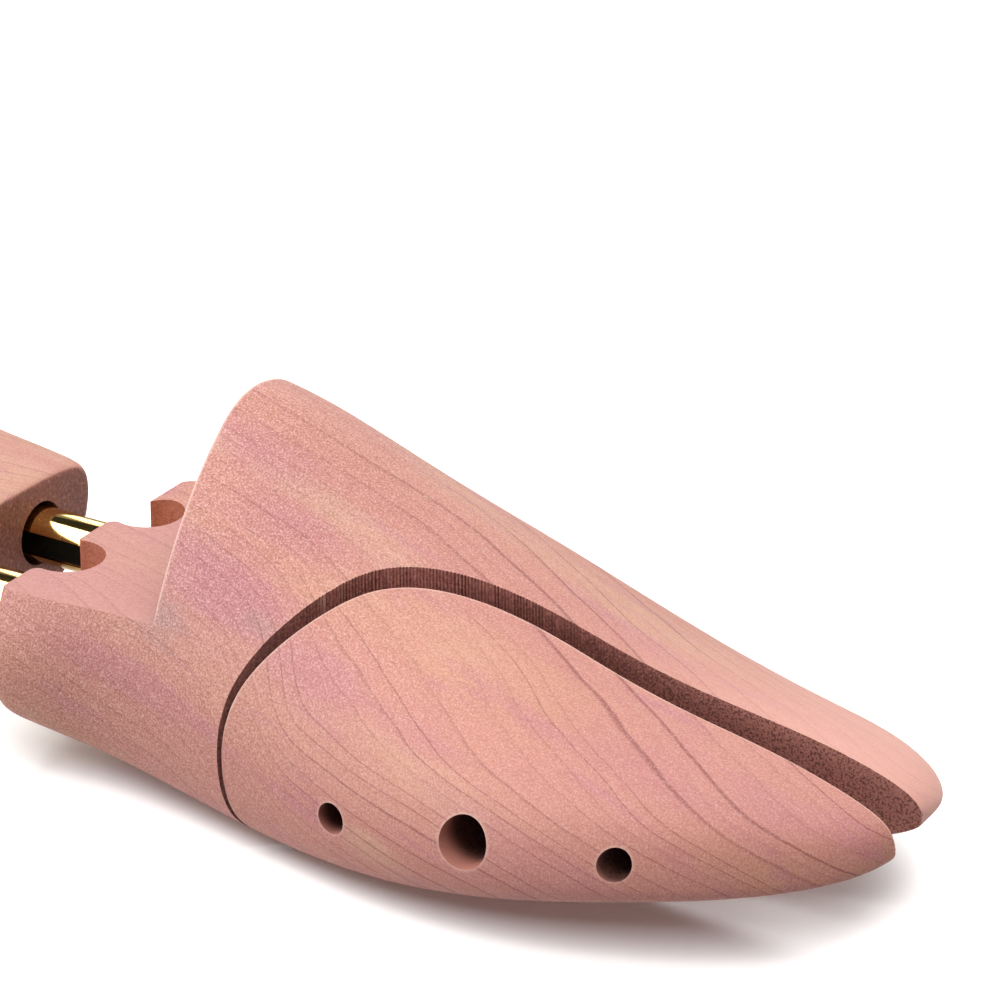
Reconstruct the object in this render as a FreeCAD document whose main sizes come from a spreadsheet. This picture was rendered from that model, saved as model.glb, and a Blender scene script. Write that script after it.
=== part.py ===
import FreeCAD, Part
import Sketcher
import math, os
from FreeCAD import Vector, Placement, Rotation

# Twin-tube cedar shoe tree with a split toe, right foot.
#
# Working frame (millimetres): x runs along the tubes from heel to toe with 0 at
# the rear face of the toe block, y is towards the inner side of the foot, z is
# up. Every sub-part is drawn in this frame and then placed by one common
# Placement, which sets the ball of the toe block and the back of the heel on
# the floor z = 0 and puts the origin at the middle of the outline.

os.makedirs("parts", exist_ok=True)
doc = FreeCAD.newDocument("shoe_tree")
sheet = doc.addObject("Spreadsheet::Sheet", "dims")

_row = [0]


def cell(alias, value, note=""):
    _row[0] += 1
    r = _row[0]
    sheet.set("A%d" % r, alias)
    sheet.set("B%d" % r, repr(float(value)))
    sheet.setAlias("B%d" % r, alias)
    if note:
        sheet.set("C%d" % r, note)


# ---------------------------------------------------------------- dimensions
DIMS = [
    ("deck_top", 36.3, "flat rear deck of the toe block"),
    ("deck_length", 29.6, "rear face to the step of the instep hump"),
    ("scallop_radius", 6.35, "half-round notches over the tubes"),
    ("scallop_lateral_x", 1.9, "their centres"),
    ("scallop_lateral_y", -10.0, ""),
    ("scallop_medial_x", 3.1, ""),
    ("scallop_medial_y", 11.7, ""),
    ("tube_height", 26.2, "tube axis"),
    ("tube_half_pitch", 12.0, "tube axis off the centre line"),
    ("tube_radius", 5.0, ""),
    ("tube_bore_radius", 4.35, "inside of the tube"),
    ("tube_front", 42.0, "end of the tube in the toe block"),
    ("tube_rear", -46.0, "end of the tube in the heel block"),
    ("tube_length", 88.0, ""),
    ("tube_slot_width", 4.4, "side slots for the stop pin"),
    ("tube_slot_front", -9.4, "centre of the front slot end"),
    ("tube_slot_rear", -29.4, "centre of the rear slot end"),
    ("lock_pin_x", 9.4, "cross pin that holds the tubes in the toe block"),
    ("lock_pin_radius", 2.0, ""),
    ("lock_pin_length", 38.0, ""),
    ("lock_pin_outer", 20.0, "its outer end, inner side of the foot"),
    ("lock_hole_radius", 3.2, "access hole on the inner side"),
    ("stop_pin_x", -29.4, "cross pin of the heel block"),
    ("stop_pin_radius", 1.8, ""),
    ("stop_pin_length", 43.0, ""),
    ("stop_pin_outer", 22.5, ""),
    ("stop_hole_radius", 3.0, ""),
    ("heel_front", -20.5, "front face of the heel block"),
    ("heel_bore_radius", 5.85, "running bores for the tubes"),
    ("heel_bore_end", -85.0, "bottom of the bores"),
    ("seat_thickness", 1.0, "steel disc at the bottom of each bore"),
    ("seat_radius", 5.6, ""),
    ("plug_length", 9.0, "plug in the end of each tube"),
    ("plug_flange", 1.5, ""),
    ("plug_flange_radius", 4.95, ""),
    ("spring_outer_radius", 4.6, "heel spring envelope"),
    ("spring_inner_radius", 3.5, ""),
    ("kerf", 0.9, "saw kerf of the split"),
    ("wing_open", 4.574, "angle of the wing at rest, degrees"),
    ("wing_pivot_x", 45.0, ""),
    ("wing_pivot_y", -29.1, ""),
    ("hole_small_radius", 2.7, "outer holes of the wing"),
    ("hole_large_radius", 4.35, "middle hole of the wing"),
    ("hole_rear_x", 71.2, ""), ("hole_rear_z", 16.6, ""),
    ("hole_mid_x", 97.3, ""), ("hole_mid_z", 20.4, ""),
    ("hole_front_x", 122.4, ""), ("hole_front_z", 21.6, ""),
    ("screw_seat_y", -22.0, "bottom of the screw recesses in the wing"),
    ("screw_ledge", 5.0, "wood left under the screw head"),
    ("screw_shank_radius", 1.4, ""),
    ("screw_head_radius", 2.1, ""),
    ("screw_head_height", 2.0, ""),
    ("screw_tip_y", 17.0, "end of the screws in the toe block"),
    ("washer_radius", 2.2, ""), ("washer_bore_radius", 1.55, ""),
    ("washer_thickness", 0.6, ""), ("washer_gap", 0.3, ""),
    ("ledge_hole_radius", 2.05, "loose hole for the screw shank"),
    ("ledge_hole_shift", 0.55, ""),
    ("relief_radius", 4.4, "relief behind the ledge"),
    ("wing_spring_outer_radius", 3.15, ""),
    ("wing_spring_inner_radius", 2.35, ""),
    ("wing_plug_outer_y", -25.0, ""), ("wing_plug_thickness", 4.0, ""),
    ("pocket_radius", 4.0, "spring pocket in the toe block"),
    ("pocket_end_y", 13.0, ""),
]
for a, v, n in DIMS:
    cell(a, v, n)

# Cross-sections of the toe block form: one row per station.
COLS = ("x", "crown", "mid", "half", "waist", "low", "top", "el", "er", "br", "bl")
TOE = [
    (-0.50, -0.10, -1.05, 28.80, 24.50, 10.20, 70.80, 2.22, 1.22, 3.14, 1.48),
    (-0.50, -0.10, -1.05, 29.55, 24.70, 8.90, 71.80, 2.25, 1.22, 3.28, 1.45),
    (2.80, 0.15, -0.95, 29.45, 25.40, 7.70, 71.90, 2.35, 1.25, 3.32, 1.49),
    (11.50, 1.30, -0.30, 28.62, 26.90, 5.30, 71.60, 2.64, 1.34, 3.44, 1.65),
    (20.45, 3.07, 0.71, 27.88, 26.68, 3.03, 70.67, 2.81, 1.40, 3.57, 1.81),
    (37.76, 6.05, -0.45, 28.14, 23.17, 0.66, 68.09, 2.77, 1.52, 3.64, 2.16),
    (58.22, 6.68, 0.24, 33.04, 19.05, -0.23, 57.49, 2.54, 1.48, 3.71, 2.68),
    (81.82, 3.79, 1.04, 38.54, 17.27, 2.30, 48.44, 2.25, 1.66, 3.67, 3.18),
    (105.42, -0.32, 1.07, 38.94, 17.55, 7.61, 39.64, 1.91, 2.06, 3.44, 3.34),
    (127.45, -3.70, 2.69, 34.37, 17.80, 12.84, 35.47, 1.58, 2.41, 3.12, 3.08),
    (145.54, -3.93, 5.85, 26.72, 17.80, 16.00, 32.40, 1.60, 2.44, 2.52, 2.59),
    (157.34, -3.10, 4.17, 13.55, 20.60, 20.60, 27.00, 1.72, 2.36, 2.04, 2.18),
    (157.34, 0.00, 3.60, 3.20, 22.40, 21.90, 23.60, 2.00, 2.00, 2.00, 2.00),
]
# The wing stands a little forward of the toe block, so its last stations are its own.
WING_TIP = [
    (146.20, -3.93, 5.85, 26.72, 17.80, 15.00, 32.40, 1.60, 2.44, 2.52, 2.59),
    (158.70, -3.10, 4.17, 13.55, 20.20, 19.40, 27.40, 1.72, 2.36, 2.04, 2.18),
    (158.70, 0.00, 3.60, 3.20, 22.40, 21.20, 24.20, 2.00, 2.00, 2.00, 2.00),
]
HEEL = [
    (-20.5, 0.0, 0.0, 25.8, 29.0, 12.8, 35.0, 3.7, 3.7, 2.1, 2.1),
    (-20.5, 0.0, 0.0, 27.7, 29.0, 10.6, 36.7, 3.7, 3.7, 2.1, 2.1),
    (-23.0, 0.0, 0.0, 28.8, 29.0, 9.2, 37.3, 3.7, 3.7, 2.2, 2.2),
    (-38.0, 0.0, 0.0, 29.9, 29.0, 7.0, 38.9, 3.6, 3.6, 2.4, 2.4),
    (-54.0, 0.0, 0.0, 30.8, 28.0, 4.4, 42.4, 3.4, 3.4, 2.7, 2.7),
    (-70.0, 0.0, 0.0, 29.6, 27.0, 0.2, 46.0, 3.3, 3.3, 2.9, 2.9),
    (-86.0, 0.0, 0.0, 25.4, 27.0, -2.6, 49.2, 3.0, 3.0, 2.9, 2.9),
    (-97.5, 0.0, 0.0, 17.4, 28.0, 2.6, 49.6, 2.6, 2.6, 2.6, 2.6),
    (-100.0, 0.0, 0.0, 8.0, 31.0, 16.0, 44.0, 2.2, 2.2, 2.2, 2.2),
    (-100.0, 0.0, 0.0, 2.0, 31.0, 28.5, 33.5, 2.0, 2.0, 2.0, 2.0),
]
for tag, table in (("toe", TOE), ("wing_tip", WING_TIP), ("heel", HEEL)):
    for i, row in enumerate(table):
        for c, v in zip(COLS, row):
            cell("%s_%s_%s" % (tag, "abcdefghijklm"[i], c), v)

# Split line of the toe seen from above: the wall left on the toe block.
SPLIT = [(41.0, -38.6), (43.2, -33.8), (45.2, -30.2), (47.2, -27.3), (50.0, -24.1),
         (53.8, -20.0), (58.4, -14.8), (62.5, -10.4), (66.4, -7.3), (71.9, -4.2),
         (78.4, -1.6), (85.0, 0.2), (92.6, 1.4), (104.1, 1.9), (114.3, 2.2),
         (124.2, 2.8), (134.3, 3.4), (144.6, 3.9), (151.3, 4.5), (157.1, 5.4),
         (170.0, 7.8)]
for i, (x, y) in enumerate(SPLIT):
    cell("split_%s_x" % "abcdefghijklmnopqrstu"[i], x)
    cell("split_%s_y" % "abcdefghijklmnopqrstu"[i], y)
doc.recompute()


def d(alias):
    return float(sheet.get(alias))


# ------------------------------------------------------------ free-form forms
NV = 16


def section(row):
    x, crown, mid, half, waist, low, top, el, er, br, bl = row
    pts = []
    for k in range(NV):
        t = 2.0 * math.pi * k / NV
        c, s = math.cos(t), math.sin(t)
        outer = c >= -1e-9
        side = mid - half if outer else mid + half
        if s >= -1e-9:
            e = er if outer else el
            ym = mid + crown
            y = ym + (side - ym) * abs(c) ** (2.0 / e)
            z = waist + (top - waist) * abs(s) ** (2.0 / e) if s > 1e-9 else waist
        else:
            e = br if outer else bl
            y = mid + (side - mid) * abs(c) ** (2.0 / e)
            z = waist + (low - waist) * abs(s) ** (2.0 / e)
        pts.append(Vector(x, y, z))
    return pts


def read_table(tag, n):
    return [[d("%s_%s_%s" % (tag, "abcdefghijklm"[i], c)) for c in COLS] for i in range(n)]


def form_solid(table):
    poles = [section(r) for r in table]
    n = len(poles)
    uk = [float(i) for i in range(n - 2)]
    um = [4] + [1] * (n - 4) + [4]
    vk = [float(i) for i in range(NV + 1)]
    vm = [1] * (NV + 1)
    s = Part.BSplineSurface()
    s.buildFromPolesMultsKnots(poles, um, vm, uk, vk, False, True, 3, 3)
    skin = s.toShape()
    caps = []
    for e in skin.Edges:
        xs = [e.valueAt(e.FirstParameter + f * (e.LastParameter - e.FirstParameter)).x
              for f in (0.0, 0.3, 0.6)]
        if e.isClosed() and max(xs) - min(xs) < 1e-6:
            caps.append(Part.Face(Part.Wire([e])))
    shell = Part.makeCompound([skin] + caps)
    shell.sewShape(1e-4)
    sol = Part.Solid(shell.Shells[0])
    if sol.Volume < 0:
        sol.reverse()
    return sol


def feature(name, shape):
    o = doc.addObject("Part::Feature", name)
    o.Shape = shape
    return o


def cylinder(name, radius, height, base, axis):
    """Cylinder whose radius and height are expressions, base point a tuple of expressions."""
    o = doc.addObject("Part::Cylinder", name)
    o.setExpression("Radius", radius)
    o.setExpression("Height", height)
    o.Placement = Placement(Vector(0, 0, 0), Rotation(Vector(0, 0, 1), Vector(*axis)))
    for k, e in zip("xyz", base):
        o.setExpression("Placement.Base.%s" % k, e)
    return o


def cut(name, base, tools):
    f = tools[0]
    if len(tools) > 1:
        f = doc.addObject("Part::MultiFuse", name + "_tools")
        f.Shapes = tools
    o = doc.addObject("Part::Cut", name)
    o.Base = base
    o.Tool = f
    return o


XP, XN, YP, YN, ZP = (1, 0, 0), (-1, 0, 0), (0, 1, 0), (0, -1, 0), (0, 0, 1)

toe_form = feature("toe_form", form_solid(read_table("toe", len(TOE))))
wing_form = feature("wing_form", form_solid(read_table("toe", len(TOE) - 3) + read_table("wing_tip", 3)))
heel_form = feature("heel_form", form_solid(read_table("heel", len(HEEL))))

# ---------------------------------------------------------------- split lines
split = [(d("split_%s_x" % c), d("split_%s_y" % c)) for c in "abcdefghijklmnopqrstu"]
main_curve = Part.BSplineCurve()
main_curve.interpolate([Vector(x, y, -20) for x, y in split])
px, py, th = d("wing_pivot_x"), d("wing_pivot_y"), math.radians(d("wing_open"))
ct, st = math.cos(th), math.sin(th)
wing_pts = []
for i in range(41):
    u = main_curve.FirstParameter + (main_curve.LastParameter - main_curve.FirstParameter) * i / 40.0
    p = main_curve.value(u)
    t = main_curve.tangent(u)[0]
    q = Vector(p.x + t.y * d("kerf"), p.y - t.x * d("kerf"), p.z)
    r = Vector(q.x - px, q.y - py, 0)
    wing_pts.append(Vector(px + ct * r.x + st * r.y, py - st * r.x + ct * r.y, p.z))
wing_curve = Part.BSplineCurve()
wing_curve.interpolate(wing_pts)


def outer_region(curve):
    """Plan area on the outer side of a split line, as a face in z = -20."""
    a, b = curve.StartPoint, curve.EndPoint
    far = -70.0
    edges = [curve.toShape(),
             Part.LineSegment(b, Vector(b.x, far, b.z)).toShape(),
             Part.LineSegment(Vector(b.x, far, b.z), Vector(a.x, far, a.z)).toShape(),
             Part.LineSegment(Vector(a.x, far, a.z), a).toShape()]
    return Part.Face(Part.Wire(edges))


def prism(name, face):
    f = feature(name + "_plan", face)
    o = doc.addObject("Part::Extrusion", name)
    o.Base = f
    o.Dir = Vector(0, 0, 120)
    o.Solid = True
    return o


main_side = prism("main_side", outer_region(main_curve))
wing_side = prism("wing_side", outer_region(wing_curve))

# ------------------------------------------------------------------ toe_body
deck_cut = doc.addObject("Part::Box", "deck_cut")
deck_cut.setExpression("Length", "dims.deck_length + 10")
deck_cut.Width = 120
deck_cut.Height = 80
deck_cut.setExpression("Placement.Base.x", "-10")
deck_cut.setExpression("Placement.Base.y", "-60")
deck_cut.setExpression("Placement.Base.z", "dims.deck_top")
tools = [main_side, deck_cut]
for tag, sg in (("lateral", "-"), ("medial", "")):
    tools.append(cylinder("scallop_" + tag, "dims.scallop_radius", "80",
                          ("dims.scallop_%s_x" % tag, "dims.scallop_%s_y" % tag, "-10"), ZP))
    tools.append(cylinder("socket_" + tag, "dims.tube_radius", "dims.tube_front + 2",
                          ("-2", sg + "dims.tube_half_pitch", "dims.tube_height"), XP))
tools.append(cylinder("lock_pin_hole", "dims.lock_pin_radius", "dims.lock_pin_length",
                      ("dims.lock_pin_x", "dims.lock_pin_outer", "dims.tube_height"), YN))
tools.append(cylinder("lock_access", "dims.lock_hole_radius", "20",
                      ("dims.lock_pin_x", "dims.lock_pin_outer", "dims.tube_height"), YP))
for tag in ("rear", "front"):
    tools.append(cylinder("pilot_" + tag, "dims.screw_shank_radius", "dims.screw_tip_y + 22",
                          ("dims.hole_%s_x" % tag, "-20", "dims.hole_%s_z" % tag), YP))
tools.append(cylinder("spring_pocket", "dims.pocket_radius", "dims.pocket_end_y + 20",
                      ("dims.hole_mid_x", "-20", "dims.hole_mid_z"), YP))
toe_body = cut("toe_body", toe_form, tools)

# ------------------------------------------------------------------ toe_wing
wing_blank = doc.addObject("Part::Common", "wing_blank")
wing_blank.Base = wing_form
wing_blank.Tool = wing_side
wtools = []
for tag in ("rear", "front"):
    hx, hz = "dims.hole_%s_x" % tag, "dims.hole_%s_z" % tag
    wtools.append(cylinder("recess_" + tag, "dims.hole_small_radius", "40",
                           (hx, "dims.screw_seat_y", hz), YN))
    wtools.append(cylinder("loose_" + tag, "dims.ledge_hole_radius", "40",
                           (hx + " + dims.ledge_hole_shift", "dims.screw_seat_y - 1", hz), YP))
    wtools.append(cylinder("relief_" + tag, "dims.relief_radius", "30",
                           (hx + " + dims.ledge_hole_shift", "dims.screw_seat_y + dims.screw_ledge", hz), YP))
wtools.append(cylinder("spring_hole", "dims.hole_large_radius", "80",
                       ("dims.hole_mid_x", "-60", "dims.hole_mid_z"), YP))
toe_wing = cut("toe_wing", wing_blank, wtools)

# ---------------------------------------------------------------- heel_block
# The underside is sanded flat where the heel stands on the floor.
floor = min(p.z for p in toe_form.Shape.tessellate(0.03)[0])
floor_box = doc.addObject("Part::Box", "floor_cut")
floor_box.Length, floor_box.Width, floor_box.Height = 140, 120, 40
floor_box.Placement = Placement(Vector(-130, -60, floor - 40), Rotation())
htools = [floor_box]
for tag, sg in (("lateral", "-"), ("medial", "")):
    htools.append(cylinder("bore_" + tag, "dims.heel_bore_radius",
                           "dims.heel_front - dims.heel_bore_end + 5",
                           ("dims.heel_bore_end", sg + "dims.tube_half_pitch", "dims.tube_height"), XP))
htools.append(cylinder("stop_pin_hole", "dims.stop_pin_radius", "dims.stop_pin_length",
                       ("dims.stop_pin_x", "dims.stop_pin_outer", "dims.tube_height"), YN))
htools.append(cylinder("stop_access", "dims.stop_hole_radius", "20",
                       ("dims.stop_pin_x", "dims.stop_pin_outer", "dims.tube_height"), YP))
heel_block = cut("heel_block", heel_form, htools)


# --------------------------------------------------------- turned metal parts
def plane(body, role):
    return [f for f in body.Origin.OriginFeatures if f.Role == role][0]


def new_sketch(body, name, role):
    sk = body.newObject("Sketcher::SketchObject", name)
    sk.AttachmentSupport = [(plane(body, role), "")]
    sk.MapMode = "FlatFace"
    return sk


def circle(sk, radius):
    g = sk.addGeometry(Part.Circle(Vector(0, 0, 0), Vector(0, 0, 1), 3.0), False)
    sk.addConstraint(Sketcher.Constraint("Coincident", g, 3, -1, 1))
    c = sk.addConstraint(Sketcher.Constraint("Radius", g, 3.0 + g))
    sk.setExpression("Constraints[%d]" % c, radius)
    return g


def bar(name, radius, length, bore=None, chamfer=0.0):
    """Round bar or tube along +z of its own body."""
    b = doc.addObject("PartDesign::Body", name)
    sk = new_sketch(b, name + "_section", "XY_Plane")
    circle(sk, radius)
    if bore:
        circle(sk, bore)
    pad = b.newObject("PartDesign::Pad", name + "_pad")
    pad.Profile = sk
    pad.setExpression("Length", length)
    doc.recompute()
    if chamfer:
        ch = b.newObject("PartDesign::Chamfer", name + "_edge")
        ring = []
        for i, e in enumerate(pad.Shape.Edges):
            if e.Curve.TypeId == "Part::GeomCircle" and abs(e.Curve.Radius - d(radius.split(".")[1])) < 1e-6:
                ring.append("Edge%d" % (i + 1))
        ch.Base = (pad, ring)
        ch.Size = chamfer
        doc.recompute()
    return b


def turned(name, profile):
    """Revolved piece: profile is a list of (radius, length) expressions, axis +z of its own body."""
    b = doc.addObject("PartDesign::Body", name)
    sk = new_sketch(b, name + "_profile", "XZ_Plane")
    n = len(profile)
    num = [(amount(r), amount(z)) for r, z in profile]
    for i in range(n):
        a, c = num[i], num[(i + 1) % n]
        sk.addGeometry(Part.LineSegment(Vector(a[0], a[1], 0), Vector(c[0], c[1], 0)), False)
    for i in range(n):
        sk.addConstraint(Sketcher.Constraint("Coincident", i, 2, (i + 1) % n, 1))
    for i, (r, z) in enumerate(profile):
        for kind, e, v in (("DistanceX", r, num[i][0]), ("DistanceY", z, num[i][1])):
            c = sk.addConstraint(Sketcher.Constraint(kind, -1, 1, i, 1, v))
            if e != "0":
                sk.setExpression("Constraints[%d]" % c, e)
    rev = b.newObject("PartDesign::Revolution", name + "_turn")
    rev.Profile = sk
    rev.ReferenceAxis = (sk, ["V_Axis"])
    rev.Angle = 360.0
    doc.recompute()
    return b


def amount(e):
    """Sum of sheet cells and numbers, such as dims.a + dims.b - 2."""
    total, sign = 0.0, 1.0
    for w in e.replace("+", " + ").replace("-", " - ").split():
        if w == "+":
            sign = 1.0
        elif w == "-":
            sign = -1.0
        else:
            total += sign * (d(w[5:]) if w.startswith("dims.") else float(w))
            sign = 1.0
    return total


def local(base, axis):
    return Placement(Vector(*base), Rotation(Vector(0, 0, 1), Vector(*axis)))


nodes = {}     # label -> (object, placement in the working frame)
yt, zt = d("tube_half_pitch"), d("tube_height")

for tag, sg in (("lateral", -1), ("medial", 1)):
    # tube: round bar with a bore, a slot for the stop pin, a hole for the lock pin
    nm = tag + "_tube"
    b = bar(nm, "dims.tube_radius", "dims.tube_length", "dims.tube_bore_radius", 0.25)
    v0 = b.Shape.Volume
    sk = new_sketch(b, nm + "_slot", "XZ_Plane")
    z0 = d("tube_slot_rear") - d("tube_rear")
    z1 = d("tube_slot_front") - d("tube_rear")
    w = d("tube_slot_width") / 2.0
    sk.addGeometry(Part.ArcOfCircle(Part.Circle(Vector(0, z0, 0), Vector(0, 0, 1), w), math.pi, 2 * math.pi), False)
    sk.addGeometry(Part.LineSegment(Vector(w, z0, 0), Vector(w, z1, 0)), False)
    sk.addGeometry(Part.ArcOfCircle(Part.Circle(Vector(0, z1, 0), Vector(0, 0, 1), w), 0, math.pi), False)
    sk.addGeometry(Part.LineSegment(Vector(-w, z1, 0), Vector(-w, z0, 0)), False)
    for i in range(4):
        sk.addConstraint(Sketcher.Constraint("Tangent", i, 2, (i + 1) % 4, 1))
    sk.addConstraint(Sketcher.Constraint("PointOnObject", 0, 3, -2))
    c = sk.addConstraint(Sketcher.Constraint("Radius", 0, w))
    sk.setExpression("Constraints[%d]" % c, "dims.tube_slot_width / 2")
    c = sk.addConstraint(Sketcher.Constraint("DistanceY", -1, 1, 0, 3, z0))
    sk.setExpression("Constraints[%d]" % c, "dims.tube_slot_rear - dims.tube_rear")
    c = sk.addConstraint(Sketcher.Constraint("DistanceY", -1, 1, 2, 3, z1))
    sk.setExpression("Constraints[%d]" % c, "dims.tube_slot_front - dims.tube_rear")
    pk = b.newObject("PartDesign::Pocket", nm + "_slot_cut")
    pk.Profile = sk
    pk.Type = 1
    pk.Midplane = True
    sk2 = new_sketch(b, nm + "_pin_hole", "XZ_Plane")
    g = sk2.addGeometry(Part.Circle(Vector(0, d("lock_pin_x") - d("tube_rear"), 0), Vector(0, 0, 1), 2.0), False)
    sk2.addConstraint(Sketcher.Constraint("PointOnObject", g, 3, -2))
    c = sk2.addConstraint(Sketcher.Constraint("DistanceY", -1, 1, g, 3, d("lock_pin_x") - d("tube_rear")))
    sk2.setExpression("Constraints[%d]" % c, "dims.lock_pin_x - dims.tube_rear")
    c = sk2.addConstraint(Sketcher.Constraint("Radius", g, 2.0))
    sk2.setExpression("Constraints[%d]" % c, "dims.lock_pin_radius")
    doc.recompute()
    pk2 = b.newObject("PartDesign::Pocket", nm + "_pin_cut")
    pk2.Profile = sk2
    pk2.Type = 1
    pk2.Midplane = True
    doc.recompute()
    if not b.Shape.Volume < v0 - 20:
        raise RuntimeError(nm + ": slot not cut")
    # the tube body's x axis is the working frame's z, its z axis is the working frame's x
    nodes[nm] = (b, Placement(Vector(d("tube_rear"), sg * yt, zt),
                              Rotation(Vector(0, 0, 1), Vector(0, 1, 0), Vector(1, 0, 0), "ZXY")))

    nm = tag + "_tube_plug"
    b = turned(nm, [("0", "0"), ("dims.plug_flange_radius", "0"),
                    ("dims.plug_flange_radius", "dims.plug_flange"),
                    ("dims.tube_bore_radius", "dims.plug_flange"),
                    ("dims.tube_bore_radius", "dims.plug_flange + dims.plug_length"),
                    ("0", "dims.plug_flange + dims.plug_length")])
    nodes[nm] = (b, local((d("tube_rear") - d("plug_flange"), sg * yt, zt), XP))

    nm = tag + "_spring_seat"
    b = bar(nm, "dims.seat_radius", "dims.seat_thickness", None, 0.15)
    nodes[nm] = (b, local((d("heel_bore_end"), sg * yt, zt), XP))

    nm = tag + "_tube_spring"
    b = bar(nm, "dims.spring_outer_radius",
            "dims.tube_rear - dims.plug_flange - dims.heel_bore_end - dims.seat_thickness",
            "dims.spring_inner_radius")
    nodes[nm] = (b, local((d("heel_bore_end") + d("seat_thickness"), sg * yt, zt), XP))

b = bar("tube_lock_pin", "dims.lock_pin_radius", "dims.lock_pin_length", None, 0.3)
nodes["tube_lock_pin"] = (b, local((d("lock_pin_x"), d("lock_pin_outer"), zt), YN))
b = bar("heel_stop_pin", "dims.stop_pin_radius", "dims.stop_pin_length", None, 0.3)
nodes["heel_stop_pin"] = (b, local((d("stop_pin_x"), d("stop_pin_outer"), zt), YN))

for tag in ("rear", "front"):
    hx, hz = d("hole_%s_x" % tag), d("hole_%s_z" % tag)
    y0 = d("screw_seat_y") - d("washer_gap") - d("washer_thickness") - d("screw_head_height")
    nm = tag + "_guide_screw"
    b = turned(nm, [("0", "0"), ("dims.screw_head_radius - 0.8", "0"),
                    ("dims.screw_head_radius", "0.8"),
                    ("dims.screw_head_radius", "dims.screw_head_height"),
                    ("dims.screw_shank_radius", "dims.screw_head_height"),
                    ("dims.screw_shank_radius", "41.0"), ("0", "43.0")])
    nodes[nm] = (b, local((hx, y0, hz), YP))
    nm = tag + "_screw_washer"
    b = bar(nm, "dims.washer_radius", "dims.washer_thickness", "dims.washer_bore_radius")
    nodes[nm] = (b, local((hx, d("screw_seat_y") - d("washer_gap") - d("washer_thickness"), hz), YP))

b = bar("wing_spring_plug", "dims.hole_large_radius", "dims.wing_plug_thickness", None, 0.3)
nodes["wing_spring_plug"] = (b, local((d("hole_mid_x"), d("wing_plug_outer_y"), d("hole_mid_z")), YP))
b = bar("wing_spring_seat", "dims.pocket_radius", "dims.seat_thickness", None, 0.15)
nodes["wing_spring_seat"] = (b, local((d("hole_mid_x"), d("pocket_end_y") - d("seat_thickness"), d("hole_mid_z")), YP))
b = bar("wing_spring", "dims.wing_spring_outer_radius",
        "dims.pocket_end_y - dims.seat_thickness - dims.wing_plug_outer_y - dims.wing_plug_thickness",
        "dims.wing_spring_inner_radius")
nodes["wing_spring"] = (b, local((d("hole_mid_x"), d("wing_plug_outer_y") + d("wing_plug_thickness"),
                                  d("hole_mid_z")), YP))

nodes["toe_body"] = (toe_body, Placement())
nodes["toe_wing"] = (toe_wing, Placement())
nodes["heel_block"] = (heel_block, Placement())
doc.recompute()

# ------------------------------------------------- placing on the floor, origin
pts = []
for nm in ("toe_body", "toe_wing", "heel_block"):
    pts += nodes[nm][0].Shape.tessellate(0.03)[0]
lo = [min(p[i] for p in pts) for i in range(3)]
hi = [max(p[i] for p in pts) for i in range(3)]
common = Placement(Vector(-(lo[0] + hi[0]) / 2.0, -(lo[1] + hi[1]) / 2.0, -lo[2]), Rotation())
for nm, (o, p) in nodes.items():
    o.Placement = common.multiply(p)
    o.Label = nm
doc.recompute()

bad = [o.Name for o in doc.Objects if "Invalid" in o.State or "Error" in o.State]
if bad:
    raise RuntimeError("failed objects: %s" % bad)
for nm, (o, p) in nodes.items():
    if o.Shape.isNull() or not o.Shape.isValid() or len(o.Shape.Solids) != 1:
        raise RuntimeError("%s: bad shape, %d solids" % (nm, len(o.Shape.Solids)))
for f in os.listdir("parts"):
    if f.endswith(".step"):
        os.remove(os.path.join("parts", f))
for nm, (o, p) in sorted(nodes.items()):
    o.Shape.exportStep(os.path.join("parts", nm + ".step"))
    bb = o.Shape.BoundBox
    print("%-22s vol %9.1f  x %7.1f %7.1f  y %6.1f %6.1f  z %6.1f %6.1f" % (
        nm, o.Shape.Volume, bb.XMin, bb.XMax, bb.YMin, bb.YMax, bb.ZMin, bb.ZMax))
print("size", [round(hi[i] - lo[i], 2) for i in range(3)], "shift", common.Base, "floor", floor)
for f in heel_block.Shape.Faces:
    if f.Surface.TypeId == "Part::GeomPlane" and f.BoundBox.ZLength < 1e-4 and f.BoundBox.ZMax < 0.5:
        print("heel foot x %.2f %.2f y %.2f %.2f z %.4f area %.1f" % (
            f.BoundBox.XMin, f.BoundBox.XMax, f.BoundBox.YMin, f.BoundBox.YMax, f.BoundBox.ZMin, f.Area))
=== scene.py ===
import math
import bpy
import bmesh
import numpy as np
from mathutils import Vector, Matrix


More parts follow.
